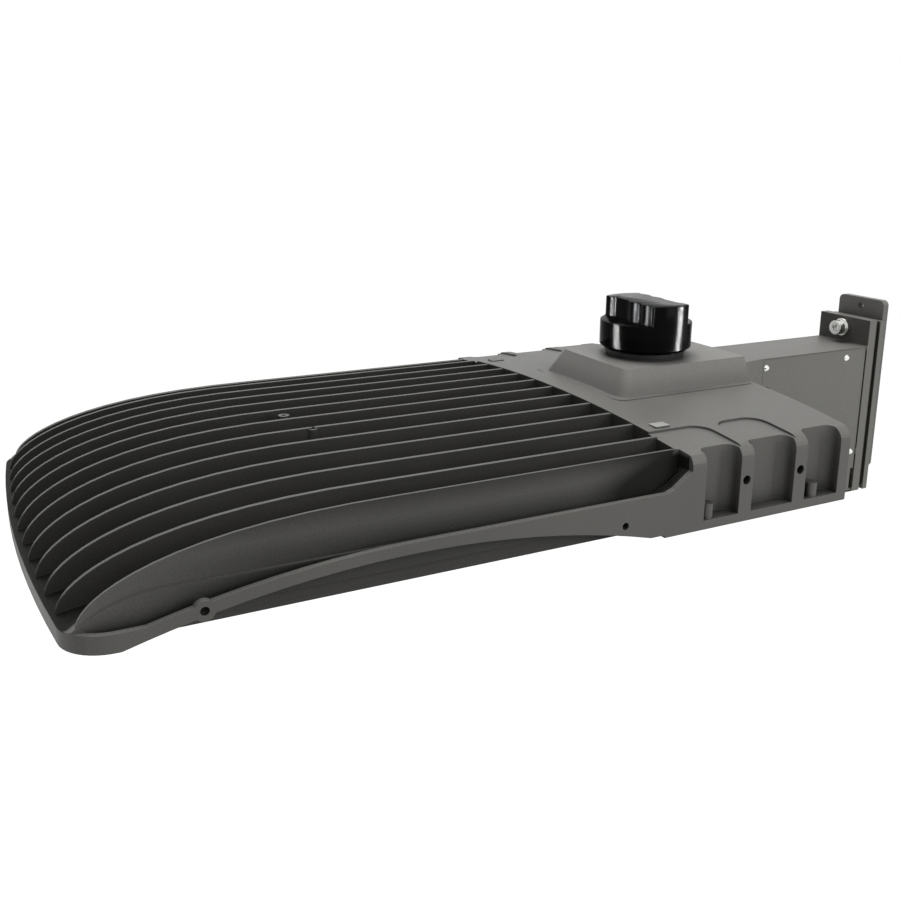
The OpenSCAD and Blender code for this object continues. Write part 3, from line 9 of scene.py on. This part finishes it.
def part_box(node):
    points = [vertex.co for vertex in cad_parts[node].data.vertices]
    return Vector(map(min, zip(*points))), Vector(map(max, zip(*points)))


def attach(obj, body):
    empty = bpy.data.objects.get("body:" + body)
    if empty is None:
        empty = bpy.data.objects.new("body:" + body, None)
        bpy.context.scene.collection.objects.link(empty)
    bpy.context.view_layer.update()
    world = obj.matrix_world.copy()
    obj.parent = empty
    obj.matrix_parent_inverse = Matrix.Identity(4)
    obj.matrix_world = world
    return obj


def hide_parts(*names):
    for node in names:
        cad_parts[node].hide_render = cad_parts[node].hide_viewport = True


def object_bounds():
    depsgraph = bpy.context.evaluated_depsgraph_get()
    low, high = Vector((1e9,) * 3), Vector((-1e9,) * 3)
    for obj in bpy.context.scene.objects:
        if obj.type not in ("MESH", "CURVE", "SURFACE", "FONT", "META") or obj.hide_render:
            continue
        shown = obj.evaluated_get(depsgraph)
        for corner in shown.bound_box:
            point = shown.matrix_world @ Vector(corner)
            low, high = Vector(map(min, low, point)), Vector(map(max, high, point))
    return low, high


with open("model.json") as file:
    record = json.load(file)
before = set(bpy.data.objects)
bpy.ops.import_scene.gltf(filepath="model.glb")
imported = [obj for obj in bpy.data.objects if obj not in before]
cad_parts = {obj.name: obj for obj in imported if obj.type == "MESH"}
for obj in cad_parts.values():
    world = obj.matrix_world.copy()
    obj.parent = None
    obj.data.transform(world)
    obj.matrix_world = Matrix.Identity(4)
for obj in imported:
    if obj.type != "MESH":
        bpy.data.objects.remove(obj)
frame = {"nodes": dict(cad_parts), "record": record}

cad_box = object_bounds()
scene = bpy.context.scene
mm = 0.001

# Corners of the CAD pieces that the lamps, the paint and the cap are placed by
light_centre = (cad_box[0] + cad_box[1]) / 2
casting_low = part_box("main_casting")[0]
arm_low, arm_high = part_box("arm_casting")
screw_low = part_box("clamp_screw")[0]
cap_low, cap_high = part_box("cap_shell")
cap_centre = (cap_low + cap_high) / 2

# Camera, in the photograph's frame
photo_side = 900
sensor_width = 36
focal_px = 1026.89
principal_px = (476.93, 393.80)
camera_place = Vector((0.66710, -0.77924, 0.23577))
camera_yaw = radians(61.41)
camera_pitch = radians(14.40)
camera_roll = radians(0.77)
camera_clip = (0.05, 60)


def place_camera():
    """Aims the camera by its yaw, pitch and roll and shifts its frame to the principal point."""
    level_part = cos(camera_pitch)
    back = Vector((sin(camera_yaw) * level_part, -cos(camera_yaw) * level_part, sin(camera_pitch)))
    level = Vector((cos(camera_yaw), sin(camera_yaw), 0))
    upright = back.cross(level)
    right = level * cos(camera_roll) + upright * sin(camera_roll)
    up = upright * cos(camera_roll) - level * sin(camera_roll)
    data = bpy.data.cameras.new("camera")
    data.sensor_width = sensor_width
    data.lens = focal_px / photo_side * sensor_width
    data.shift_x = 0.5 - principal_px[0] / photo_side
    data.shift_y = principal_px[1] / photo_side - 0.5
    data.clip_start, data.clip_end = camera_clip
    camera = bpy.data.objects.new("camera", data)
    scene.collection.objects.link(camera)
    camera.matrix_world = Matrix((right, up, back)).transposed().to_4x4()
    camera.location = camera_place
    scene.camera = camera


place_camera()
scene.view_settings.view_transform = "Standard"

# Studio
white = (1, 1, 1, 1)
ambient_strength = 0.42
backdrop_strength = 1
floor_colour = (0.8, 0.8, 0.8, 1)
floor_roughness = 0.9
floor_drop = 1.5
floor_side = 14
floor_glow = 0.7

# Strip lights of the cap: their distance, how far they hang under its middle, their size and power
strip_distance = 1.3
strip_sink = 0.3
strip_size = (0.34, 1.4)
strip_power = 420


def seen_directly(tree):
    """A mask that is 1 for what the camera sees, also in a mirror or through glass."""
    path = tree.nodes.new("ShaderNodeLightPath")
    mask = path.outputs["Is Camera Ray"]
    for ray in ("Is Glossy Ray", "Is Transmission Ray"):
        either = tree.nodes.new("ShaderNodeMath")
        either.operation = "MAXIMUM"
        tree.links.new(mask, either.inputs[0])
        tree.links.new(path.outputs[ray], either.inputs[1])
        mask = either.outputs[0]
    return mask


def make_world():
    """White where the camera sees it, and a weaker even light on the object."""
    world = bpy.data.worlds.new("studio")
    scene.world = world
    world.use_nodes = True
    tree = world.node_tree
    tree.nodes.clear()
    mix = tree.nodes.new("ShaderNodeMixShader")
    out = tree.nodes.new("ShaderNodeOutputWorld")
    tree.links.new(seen_directly(tree), mix.inputs["Fac"])
    for socket, strength in ((mix.inputs[1], ambient_strength), (mix.inputs[2], backdrop_strength)):
        background = tree.nodes.new("ShaderNodeBackground")
        background.inputs["Color"].default_value = white
        background.inputs["Strength"].default_value = strength
        tree.links.new(background.outputs[0], socket)
    tree.links.new(mix.outputs[0], out.inputs["Surface"])


def make_floor():
    """A pale floor well under the light, which glows only where it is seen."""
    bpy.ops.object.select_all(action="DESELECT")
    bpy.ops.mesh.primitive_plane_add(size=floor_side, location=(0, 0, cad_box[0].z - floor_drop))
    floor = bpy.context.object
    floor.name = "studio_floor"
    material = bpy.data.materials.new("studio_white")
    material.use_nodes = True
    tree = material.node_tree
    shader = tree.nodes["Principled BSDF"]
    shader.inputs["Base Color"].default_value = floor_colour
    shader.inputs["Roughness"].default_value = floor_roughness
    shader.inputs["Specular IOR Level"].default_value = 0
    shader.inputs["Emission Color"].default_value = white
    glow = tree.nodes.new("ShaderNodeMath")
    glow.operation = "MULTIPLY"
    glow.inputs[1].default_value = floor_glow
    tree.links.new(seen_directly(tree), glow.inputs[0])
    tree.links.new(glow.outputs[0], shader.inputs["Emission Strength"])
    floor.data.materials.append(material)


def area_lamp(name, place, target, size, power):
    """A rectangular lamp at a place, turned to a target."""
    data = bpy.data.lights.new(name, "AREA")
    data.shape = "RECTANGLE"
    data.size, data.size_y = size
    data.energy = power
    lamp = bpy.data.objects.new(name, data)
    scene.collection.objects.link(lamp)
    lamp.location = place
    lamp.rotation_mode = "QUATERNION"
    lamp.rotation_quaternion = (Vector(target) - Vector(place)).to_track_quat("-Z", "Y")
    return lamp


def strip_lamp(name, azimuth, shown_on):
    """An upright strip light that lights the cap alone, whose gloss shows it as a bright line."""
    turn = radians(azimuth)
    place = cap_centre + Vector((cos(turn), sin(turn), 0)) * strip_distance
    place.z = cap_centre.z - strip_sink
    lamp = area_lamp(name, place, Vector((cap_centre.x, cap_centre.y, place.z)), strip_size, strip_power)
    lamp.light_linking.receiver_collection = shown_on
    lamp.light_linking.blocker_collection = shown_on
    lamp.visible_diffuse = False
    lamp.data.cycles.use_multiple_importance_sampling = False


make_world()
make_floor()
area_lamp("key", place=(-0.5, -0.2, 1.9), target=light_centre, size=(0.9, 0.9), power=24)
area_lamp("arm_fill", place=(1.1, 0.25, 0.35), target=(arm_low + arm_high) / 2, size=(0.5, 0.5), power=5)
area_lamp("side_fill", place=(1.3, -0.5, 0.9), target=light_centre, size=(0.8, 0.8), power=5)


# Shader nodes and masks


def feed(tree, socket, value):
    """Gives a socket a number or colour of its own, or another node's output."""
    if isinstance(value, (int, float, tuple)):
        socket.default_value = value
    else:
        tree.links.new(value, socket)


def math_node(tree, operation, *values):
    node = tree.nodes.new("ShaderNodeMath")
    node.operation = operation
    for socket, value in zip(node.inputs, values):
        feed(tree, socket, value)
    return node.outputs[0]


def noise_node(tree, where, scale, detail):
    node = tree.nodes.new("ShaderNodeTexNoise")
    node.inputs["Detail"].default_value = detail
    feed(tree, node.inputs["Vector"], where)
    feed(tree, node.inputs["Scale"], scale)
    return node.outputs["Fac"]


def range_node(tree, value, old, new):
    """Eases a value from one range to another and stops at the ends of both."""
    node = tree.nodes.new("ShaderNodeMapRange")
    node.interpolation_type = "SMOOTHSTEP"
    for label, number in zip(("From Min", "From Max", "To Min", "To Max"), (*old, *new)):
        node.inputs[label].default_value = number
    tree.links.new(value, node.inputs["Value"])
    return node.outputs[0]


def rise(tree, value, across):
    """A mask that goes from 0 to 1 across a span."""
    return range_node(tree, value, across, (0, 1))


def fall(tree, value, across):
    """A mask that goes from 1 to 0 across a span."""
    return range_node(tree, value, across, (1, 0))


def opposite(tree, mask):
    return math_node(tree, "SUBTRACT", 1, mask)


def all_of(tree, mask, *others):
    """A mask that is high only where all the masks given are."""
    for other in others:
        mask = math_node(tree, "MULTIPLY", mask, other)
    return mask


def any_of(tree, mask, *others):
    """A mask that is high where any of the masks given is."""
    for other in others:
        mask = math_node(tree, "MAXIMUM", mask, other)
    return mask


def axes(tree, vector):
    """A vector's parts, as the outputs X, Y and Z."""
    node = tree.nodes.new("ShaderNodeSeparateXYZ")
    tree.links.new(vector, node.inputs[0])
    return node.outputs


def mix_colours(tree, factor, first, second):
    node = tree.nodes.new("ShaderNodeMix")
    node.data_type = "RGBA"
    for label, value in (("Factor", factor), ("A", first), ("B", second)):
        feed(tree, node.inputs[label], value)
    return node.outputs["Result"]


# Effects that several materials use
noise_span = (0.3, 0.7)
coarse_detail = 3
grain_detail = 2
sky_facing = (0.1, 0.62)
side_facing = (0.3, 0.7)
shading_rays = 6


def effect(name, inputs, outputs):
    """A node group with named sockets: its tree, its input node and its output node."""
    tree = bpy.data.node_groups.new(name, "ShaderNodeTree")
    for label, kind, value in inputs:
        socket = tree.interface.new_socket(name=label, in_out="INPUT", socket_type=kind)
        socket.default_value = value
    for label, kind in outputs:
        tree.interface.new_socket(name=label, in_out="OUTPUT", socket_type=kind)
    return tree, tree.nodes.new("NodeGroupInput"), tree.nodes.new("NodeGroupOutput")


def place_effect(tree, group, values):
    node = tree.nodes.new("ShaderNodeGroup")
    node.node_tree = group
    for label, value in values.items():
        feed(tree, node.inputs[label], value)
    return node


def colour_noise(name, coarse, coarse_swing, fine_swing):
    """Colour that varies softly over a part and is speckled by its grain."""
    tree, given, out = effect(
        name,
        (("Where", "NodeSocketVector", (0, 0, 0)), ("Colour", "NodeSocketColor", (0.2, 0.2, 0.2, 1)),
         ("Grain Scale", "NodeSocketFloat", 900)),
        (("Colour", "NodeSocketColor"), ("Grain", "NodeSocketFloat"), ("Gloss", "NodeSocketFloat")))
    soft = noise_node(tree, given.outputs["Where"], coarse, coarse_detail)
    grain = noise_node(tree, given.outputs["Where"], given.outputs["Grain Scale"], grain_detail)
    soft_part = range_node(tree, soft, noise_span, (1 - coarse_swing, 1 + coarse_swing))
    grain_part = range_node(tree, grain, noise_span, (1 - fine_swing, 1 + fine_swing))
    scaled = tree.nodes.new("ShaderNodeVectorMath")
    scaled.operation = "SCALE"
    tree.links.new(given.outputs["Colour"], scaled.inputs[0])
    tree.links.new(math_node(tree, "MULTIPLY", soft_part, grain_part), scaled.inputs["Scale"])
    tree.links.new(scaled.outputs[0], out.inputs["Colour"])
    tree.links.new(grain, out.inputs["Grain"])
    tree.links.new(range_node(tree, soft, noise_span, (-1, 1)), out.inputs["Gloss"])
    return tree


def sky_mask():
    """How far a face looks up at the sky: 0 on upright faces and undersides, 1 on nearly level ones."""
    tree, given, out = effect(
        "upward_faces", (("Facing", "NodeSocketVector", (0, 0, 1)),), (("Mask", "NodeSocketFloat"),))
    facing = axes(tree, given.outputs["Facing"])
    tree.links.new(rise(tree, facing["Z"], sky_facing), out.inputs["Mask"])
    return tree


powder = colour_noise("powder_coat", coarse=14, coarse_swing=0.05, fine_swing=0.10)
moulded = colour_noise("moulded_plastic", coarse=30, coarse_swing=0.06, fine_swing=0.03)
upward_faces = sky_mask()


def open_air(tree, reach, across):
    """A mask that is 0 deep in a hollow and 1 where nothing stands near."""
    occlusion = tree.nodes.new("ShaderNodeAmbientOcclusion")
    occlusion.samples = shading_rays
    occlusion.inputs["Distance"].default_value = reach
    return rise(tree, occlusion.outputs["AO"], across)


# Materials
# Painted shade for recesses: its colour, and the open-air span over which it fades
recess_shade_colour = (0.004, 0.004, 0.004, 1)
recess_span = (0.2, 0.5)


class Finish:
    """A material whose Principled shader takes colour, roughness and normal from effects."""

    def __init__(self, name):
        self.material = bpy.data.materials.new(name)
        self.material.use_nodes = True
        self.tree = self.material.node_tree
        self.shader = self.tree.nodes["Principled BSDF"]
        where = self.tree.nodes.new("ShaderNodeTexCoord")
        self.where = where.outputs["Object"]
        self.facing = where.outputs["Normal"]

    def plain(self, **values):
        """Sets the shader's own sockets, whose spaces are underscores here."""
        for label, value in values.items():
            self.shader.inputs[label.replace("_", " ")].default_value = value
        return self

    def varied(self, group, colour, grain_scale, roughness, swing, depth, edge=0, shade_reach=0):
        """Grained colour and roughness, a fine relief and, on request, rounded edges and painted shade in
        recesses.
        """
        grain = {"Where": self.where, "Colour": colour, "Grain Scale": grain_scale}
        node = place_effect(self.tree, group, grain)
        tint = node.outputs["Colour"]
        # Painted shade in recesses, by how little open air they have
        if shade_reach:
            tint = mix_colours(self.tree, open_air(self.tree, shade_reach, recess_span), recess_shade_colour, tint)
        self.tree.links.new(tint, self.shader.inputs["Base Color"])
        gloss = math_node(self.tree, "MULTIPLY_ADD", node.outputs["Gloss"], swing, roughness)
        self.tree.links.new(gloss, self.shader.inputs["Roughness"])
        bump = self.tree.nodes.new("ShaderNodeBump")
        bump.inputs["Distance"].default_value = depth
        self.tree.links.new(node.outputs["Grain"], bump.inputs["Height"])
        if edge:
            rounding = self.tree.nodes.new("ShaderNodeBevel")
            rounding.samples = shading_rays
            rounding.inputs["Radius"].default_value = edge
            self.tree.links.new(rounding.outputs[0], bump.inputs["Normal"])
        self.tree.links.new(bump.outputs[0], self.shader.inputs["Normal"])
        return self


# Tones of the powder coat, with lit and shaded copies of the one paint as painted light and painted shade,
# its sheen, and how much of the sheen goes where the painted shade is darkest
roof_lit_tone = (0.122, 0.120, 0.112, 1)
pad_lit_tone = (0.190, 0.187, 0.176, 1)
casting_side_shaded_tone = (0.088, 0.086, 0.080, 1)
crest_lit_tone = (0.098, 0.097, 0.089, 1)
valley_shade = (0.044, 0.043, 0.040, 1)
hollow_shade = (0.012, 0.0117, 0.0107, 1)
tag_paint = (0.34, 0.337, 0.32, 1)
arm_top_lit_tone = (0.158, 0.155, 0.146, 1)
arm_side_shaded_tone = (0.145, 0.143, 0.131, 1)
clamp_block_shade = (0.075, 0.073, 0.068, 1)
bracket_top_lit_tone = (0.15, 0.147, 0.139, 1)
bracket_side_shaded_tone = (0.125, 0.122, 0.115, 1)
paint_sheen = 0.35
dulling = 0.3
hollow_reach = 45 * mm
hollow_span = (0.15, 0.85)


def span(datum, start, end):
    """Two places on an axis, given in millimetres from a datum."""
    return datum + start * mm, datum + end * mm


# Where the casting's painted light and painted shade change: sideways from its middle, along it and up from
# its underside
roof_length = 158 * mm
roof_front_y = arm_low.y - roof_length
nose_y = casting_low.y
underside = casting_low.z
fin_face_x = 159 * mm
rim_face_x = 166 * mm
valley_side = span(0, 154, 157)
outer_fin_side = span(fin_face_x, -10, -8)
groove_side = span(fin_face_x, 0, 1)
rim_side = span(rim_face_x, -0.6, 0)
valley_end = span(roof_front_y, 0, 1)
groove_end = span(roof_front_y, -3, -1)
groove_stop = span(roof_front_y, 13, 14)
end_shadow = span(roof_front_y, -80, -4)
rear_shadow = span(nose_y, -20, 130)
lip_top = span(underside, 11, 12.2)
fin_foot = span(underside, 19, 27)
groove_foot = span(underside, 32, 53)
groove_top = span(underside, 50, 53)
pad_rise = span(underside, 65, 80)
foot_shade = 0.6
end_shade = 0.98

# The small bright plate on the roof's front edge
tag_size = (9.5 * mm, 12.5 * mm)
tag_setback = 9 * mm
tag_centre = (117 * mm, roof_front_y + tag_setback + tag_size[1] / 2)
tag_edge = 0.2 * mm

# The clamp block, which stands on the arm in front of its flange and gets painted shade
flange_front = arm_high.y - 9 * mm
block_foot = screw_low.z - 6.5 * mm
flange_span = span(flange_front, 0.2, 0.8)
block_span = span(block_foot, -1, 1)


class PowderPaint(Finish):
    """Warm grey powder coat, with painted light where it faces the sky and painted shade in hollows."""

    def __init__(self, name, lit_colour, shaded_colour, pad_lit_colour=None):
        super().__init__(name)
        self.upward = place_effect(self.tree, upward_faces, {"Facing": self.facing}).outputs["Mask"]
        self.place = axes(self.tree, self.where)
        # Painted light: faces that look up get a lit tone, upright faces get a shaded tone, and the pad above
        # the roof gets a lighter lit tone
        if pad_lit_colour:
            over_roof = rise(self.tree, self.place["Z"], pad_rise)
            lit_colour = mix_colours(self.tree, over_roof, lit_colour, pad_lit_colour)
        self.tint = mix_colours(self.tree, self.upward, shaded_colour, lit_colour)
        # Painted shade in hollows, where little open air reaches
        in_open = open_air(self.tree, hollow_reach, hollow_span)
        self.tint = mix_colours(self.tree, in_open, hollow_shade, self.tint)

    def cover(self, mask, colour):
        """Lays another colour over the paint where a mask says so."""
        self.tint = mix_colours(self.tree, mask, self.tint, colour)

    def dull(self, mask):
        """Takes the sheen off the paint where a mask says so."""
        level = math_node(self.tree, "MULTIPLY_ADD", mask, -dulling, paint_sheen)
        self.tree.links.new(level, self.shader.inputs["Specular IOR Level"])

    def coat(self):
        """Finishes the paint with its sheen, grain and rounded edges."""
        self.plain(Specular_IOR_Level=paint_sheen)
        return self.varied(powder, self.tint, grain_scale=1100, roughness=0.5, swing=0.05,
                           depth=0.12 * mm, edge=0.9 * mm)


def groove_shade(coat, width):
    """How much painted shade lies on the outer fin's outer face and the groove beside it: most at the foot
    and the rear end.
    """
    tree = coat.tree
    facing = axes(tree, coat.facing)
    side = math_node(tree, "SIGN", coat.place["X"])
    outward = rise(tree, math_node(tree, "MULTIPLY", facing["X"], side), side_facing)
    on_floor = rise(tree, width, groove_side)
    at_end = rise(tree, coat.place["Y"], groove_end)
    faces = any_of(tree, outward, on_floor, at_end)
    outside = rise(tree, width, outer_fin_side)
    inside = fall(tree, width, rim_side)
    ahead = fall(tree, coat.place["Y"], groove_stop)
    under_roof = any_of(tree, fall(tree, coat.place["Z"], groove_top), opposite(tree, at_end))
    foot = range_node(tree, coat.place["Z"], groove_foot, (foot_shade, 0))
    rearward = rise(tree, coat.place["Y"], rear_shadow)
    near_end = range_node(tree, coat.place["Y"], end_shadow, (0, end_shade))
    shade = math_node(tree, "ADD", all_of(tree, foot, rearward), near_end)
    shade = math_node(tree, "MINIMUM", shade, 1)
    return all_of(tree, shade, faces, outside, inside, ahead, under_roof)


def tag_mask(coat):
    """A mask that is 1 on the small bright plate."""
    tree = coat.tree
    mask = coat.upward
    for axis, centre, size in zip("XY", tag_centre, tag_size):
        off = math_node(tree, "ABSOLUTE", math_node(tree, "SUBTRACT", coat.place[axis], centre))
        mask = all_of(tree, mask, fall(tree, off, (size / 2, size / 2 + tag_edge)))
    return mask


def casting_paint():
    """The heat sink and housing: painted light on the fin crests, painted shade in the valleys and in the
    groove beside each rim, and the plate.
    """
    coat = PowderPaint("casting_powder_coat", roof_lit_tone, casting_side_shaded_tone, pad_lit_tone)
    tree = coat.tree
    width = math_node(tree, "ABSOLUTE", coat.place["X"])
    inner = fall(tree, width, valley_side)
    ahead = fall(tree, coat.place["Y"], valley_end)
    crest = all_of(tree, coat.upward, rise(tree, coat.place["Z"], fin_foot))
    over_lip = any_of(tree, rise(tree, coat.place["Z"], lip_top), coat.upward)
    zone = all_of(tree, inner, ahead, over_lip)
    # Painted light on the fin crests, in a lit tone darker than the roof's
    coat.cover(all_of(tree, zone, crest), crest_lit_tone)
    # Painted shade between the fins, on their sides and on the valley floors
    between = all_of(tree, zone, opposite(tree, crest))
    coat.cover(between, mix_colours(tree, coat.upward, valley_shade, hollow_shade))
    # Painted shade on the outer fin's outer face and in the groove beside each rim
    shade = groove_shade(coat, width)
    coat.cover(shade, hollow_shade)
    # The sheen comes off where the shade is painted, so that it stays dark
    coat.dull(any_of(tree, between, shade))
    coat.cover(tag_mask(coat), tag_paint)
    return coat.coat()


def arm_paint():
    """The arm and what is bolted to it, with painted shade that makes the clamp block darker than the rest.
    """
    coat = PowderPaint("arm_powder_coat", arm_top_lit_tone, arm_side_shaded_tone)
    # Painted shade on the clamp block, which also loses its sheen
    before = fall(coat.tree, coat.place["Y"], flange_span)
    over_arm = rise(coat.tree, coat.place["Z"], block_span)
    on_block = all_of(coat.tree, before, over_arm)
    coat.cover(on_block, clamp_block_shade)
    coat.dull(on_block)
    return coat.coat()


finishes = {
    "body_paint": casting_paint(),
    # The bracket's lit and shaded tones are painted light and painted shade
    "bracket_paint": PowderPaint("bracket_powder_coat", bracket_top_lit_tone, bracket_side_shaded_tone).coat(),
    # The steel gets painted shade in its recesses
    "steel": Finish("stainless_steel").plain(Metallic=1.0).varied(
        powder, (0.8, 0.8, 0.78, 1), grain_scale=2500, roughness=0.26, swing=0.06,
        depth=0.02 * mm, edge=0.4 * mm, shade_reach=4 * mm),
    "driver_can": Finish("bare_aluminium_can").plain(Metallic=1.0).varied(
        powder, (0.6, 0.6, 0.6, 1), grain_scale=600, roughness=0.42, swing=0.08,
        depth=0.03 * mm, edge=0.8 * mm),
    "cap_plastic": Finish("gloss_black_plastic").plain(IOR=1.07).varied(
        moulded, (0.003, 0.003, 0.003, 1), grain_scale=500, roughness=0.13, swing=0.03,
        depth=0.006 * mm),
    "black_plastic": Finish("matt_black_plastic").plain(Specular_IOR_Level=0.25).varied(
        moulded, (0.012, 0.012, 0.012, 1), grain_scale=1500, roughness=0.5, swing=0.05,
        depth=0.04 * mm, edge=0.5 * mm),
    "seal_rubber": Finish("black_rubber").plain(Specular_IOR_Level=0.25).varied(
        moulded, (0.028, 0.027, 0.026, 1), grain_scale=1800, roughness=0.72, swing=0.06,
        depth=0.05 * mm, edge=0.4 * mm),
    "lens_plastic": Finish("clear_lens_plastic").plain(Transmission_Weight=1.0, IOR=1.49).varied(
        moulded, (0.94, 0.96, 0.97, 1), grain_scale=300, roughness=0.06, swing=0.02,
        depth=0.005 * mm, edge=0.3 * mm),
    "board": Finish("white_solder_mask").plain(Specular_IOR_Level=0.5).varied(
        moulded, (0.78, 0.79, 0.77, 1), grain_scale=700, roughness=0.38, swing=0.05,
        depth=0.02 * mm),
    "phosphor": Finish("yellow_phosphor").varied(
        moulded, (0.8, 0.58, 0.1, 1), grain_scale=2000, roughness=0.45, swing=0.05,
        depth=0.02 * mm),
    "contact_brass": Finish("brass").plain(Metallic=1.0).varied(
        powder, (0.62, 0.43, 0.18, 1), grain_scale=1500, roughness=0.28, swing=0.06,
        depth=0.02 * mm, edge=0.2 * mm),
}
arm_finish = arm_paint()
arm_nodes = ("arm_casting", "side_cover", "mounting_plate")
slots = {part["node"]: part["material_slot"] for part in frame["record"]["subparts"]}


def finish_of(node):
    """A node's material: its slot's, or the arm's own."""
    return (arm_finish if node in arm_nodes else finishes[slots[node]]).material


for name, node in frame["nodes"].items():
    for slot in node.material_slots:
        slot.material = finish_of(name)

# Control cap: a round body whose upper half is cut back to a grip with finger lobes
cap_r = (cap_high.x - cap_low.x) / 2
cap_foot_inset = 3.5 * mm
cap_wall = 3 * mm
cap_foot_r = cap_r - cap_foot_inset
cap_bore_r = cap_foot_r - cap_wall
cap_ceiling = 19 * mm
cap_deck = 23.3 * mm
cap_shoulder = (1 * mm, 3 * mm)
cap_sides = 192
cap_top_edge = 2.2 * mm
cap_top_segments = 4
cap_soft_edge = 0.7 * mm
cap_soft_segments = 2
cap_soft_angle = radians(38)
cap_smooth_angle = radians(32)
grip_front = 16.2 * mm
grip_rear = 15.5 * mm
grip_slope = -0.02
lobe_depth = 2.2 * mm
lobe_pitch = 16.7 * mm
lobe_start = -4.1 * mm

# How close two corners are when they count as one place
touch = 0.01 * mm


def lobe(x):
    """How far the lobes stand out at a place along the grip, which is plain for one pitch."""
    turn = (x - lobe_start) / lobe_pitch
    return 0 if -1 < turn < 0 else lobe_depth * abs(sin(pi * turn))


def extrude_to(height, radius, was):
    """Extrudes the selected disc to a new height and radius about the cap's axis."""
    old_height, old_radius = was
    bpy.ops.mesh.extrude_region_move(TRANSFORM_OT_translate={"value": (0, 0, height - old_height)})
    size = radius / old_radius
    centre = (cap_centre.x, cap_centre.y, cap_low.z + height)
    bpy.ops.transform.resize(value=(size, size, 1), center_override=centre)
    return height, radius


def cut_to_grip(piece):
    """Moves the selected ring in to the grip's front and rear outlines."""
    shape = bmesh.from_edit_mesh(piece.data)
    for corner in (v for v in shape.verts if v.select):
        x = corner.co.x - cap_centre.x
        front = cap_centre.y - grip_front + grip_slope * x - lobe(x)
        rear = cap_centre.y + grip_rear + grip_slope * x + lobe(-x)
        corner.co.y = min(max(corner.co.y, front), rear)
    bmesh.update_edit_mesh(piece.data)


def round_top(piece):
    """Rounds the edge of the grip's top."""
    shape = bmesh.from_edit_mesh(piece.data)
    for edge in shape.edges:
        edge.select_set(all(v.co.z > cap_high.z - touch for v in edge.verts))
    bpy.ops.mesh.bevel(offset=cap_top_edge, segments=cap_top_segments, affect="EDGES")


def soften(piece):
    """Bevels the piece's remaining sharp edges a little and shades it smooth."""
    bevel = piece.modifiers.new("soft_edges", "BEVEL")
    bevel.width = cap_soft_edge
    bevel.segments = cap_soft_segments
    bevel.limit_method = "ANGLE"
    bevel.angle_limit = cap_soft_angle
    bevel.use_clamp_overlap = False
    bevel.miter_outer = "MITER_ARC"
    bpy.context.view_layer.objects.active = piece
    bpy.ops.object.modifier_apply(modifier=bevel.name)
    bpy.ops.object.select_all(action="DESELECT")
    piece.select_set(True)
    bpy.ops.object.shade_smooth_by_angle(angle=cap_smooth_angle)


def make_cap():
    """Extrudes the bore's ceiling down the inside, up the outside and over the grip."""
    bpy.ops.object.select_all(action="DESELECT")
    bpy.ops.mesh.primitive_circle_add(vertices=cap_sides, radius=cap_bore_r, fill_type="NGON",
                                      location=(cap_centre.x, cap_centre.y, cap_low.z + cap_ceiling))
    piece = bpy.context.object
    piece.name = "control_cap"
    bpy.ops.object.transform_apply(location=True)
    bpy.ops.object.mode_set(mode="EDIT")
    at = (cap_ceiling, cap_bore_r)
    for height, radius in ((0, cap_bore_r), (0, cap_foot_r), (cap_shoulder[0], cap_foot_r),
                           (cap_shoulder[1], cap_r), (cap_deck, cap_r)):
        at = extrude_to(height, radius, at)
    # A second ring on the deck's edge, which is cut back to the grip while the first stays round
    at = extrude_to(cap_deck, cap_r, at)
    cut_to_grip(piece)
    extrude_to(cap_high.z - cap_low.z, cap_r, at)
    round_top(piece)
    bpy.ops.mesh.select_all(action="SELECT")
    bpy.ops.mesh.remove_doubles(threshold=touch)
    bpy.ops.mesh.normals_make_consistent(inside=False)
    bpy.ops.object.mode_set(mode="OBJECT")
    soften(piece)
    piece.data.materials.clear()
    piece.data.materials.append(finish_of("cap_shell"))
    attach(piece, "cap")
    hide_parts("cap_shell")
    return piece


control_cap = make_cap()
gloss_only = bpy.data.collections.new("gloss_only")
gloss_only.objects.link(control_cap)
strip_lamp("nose_strip", azimuth=-113, shown_on=gloss_only)
strip_lamp("pole_strip", azimuth=54, shown_on=gloss_only)
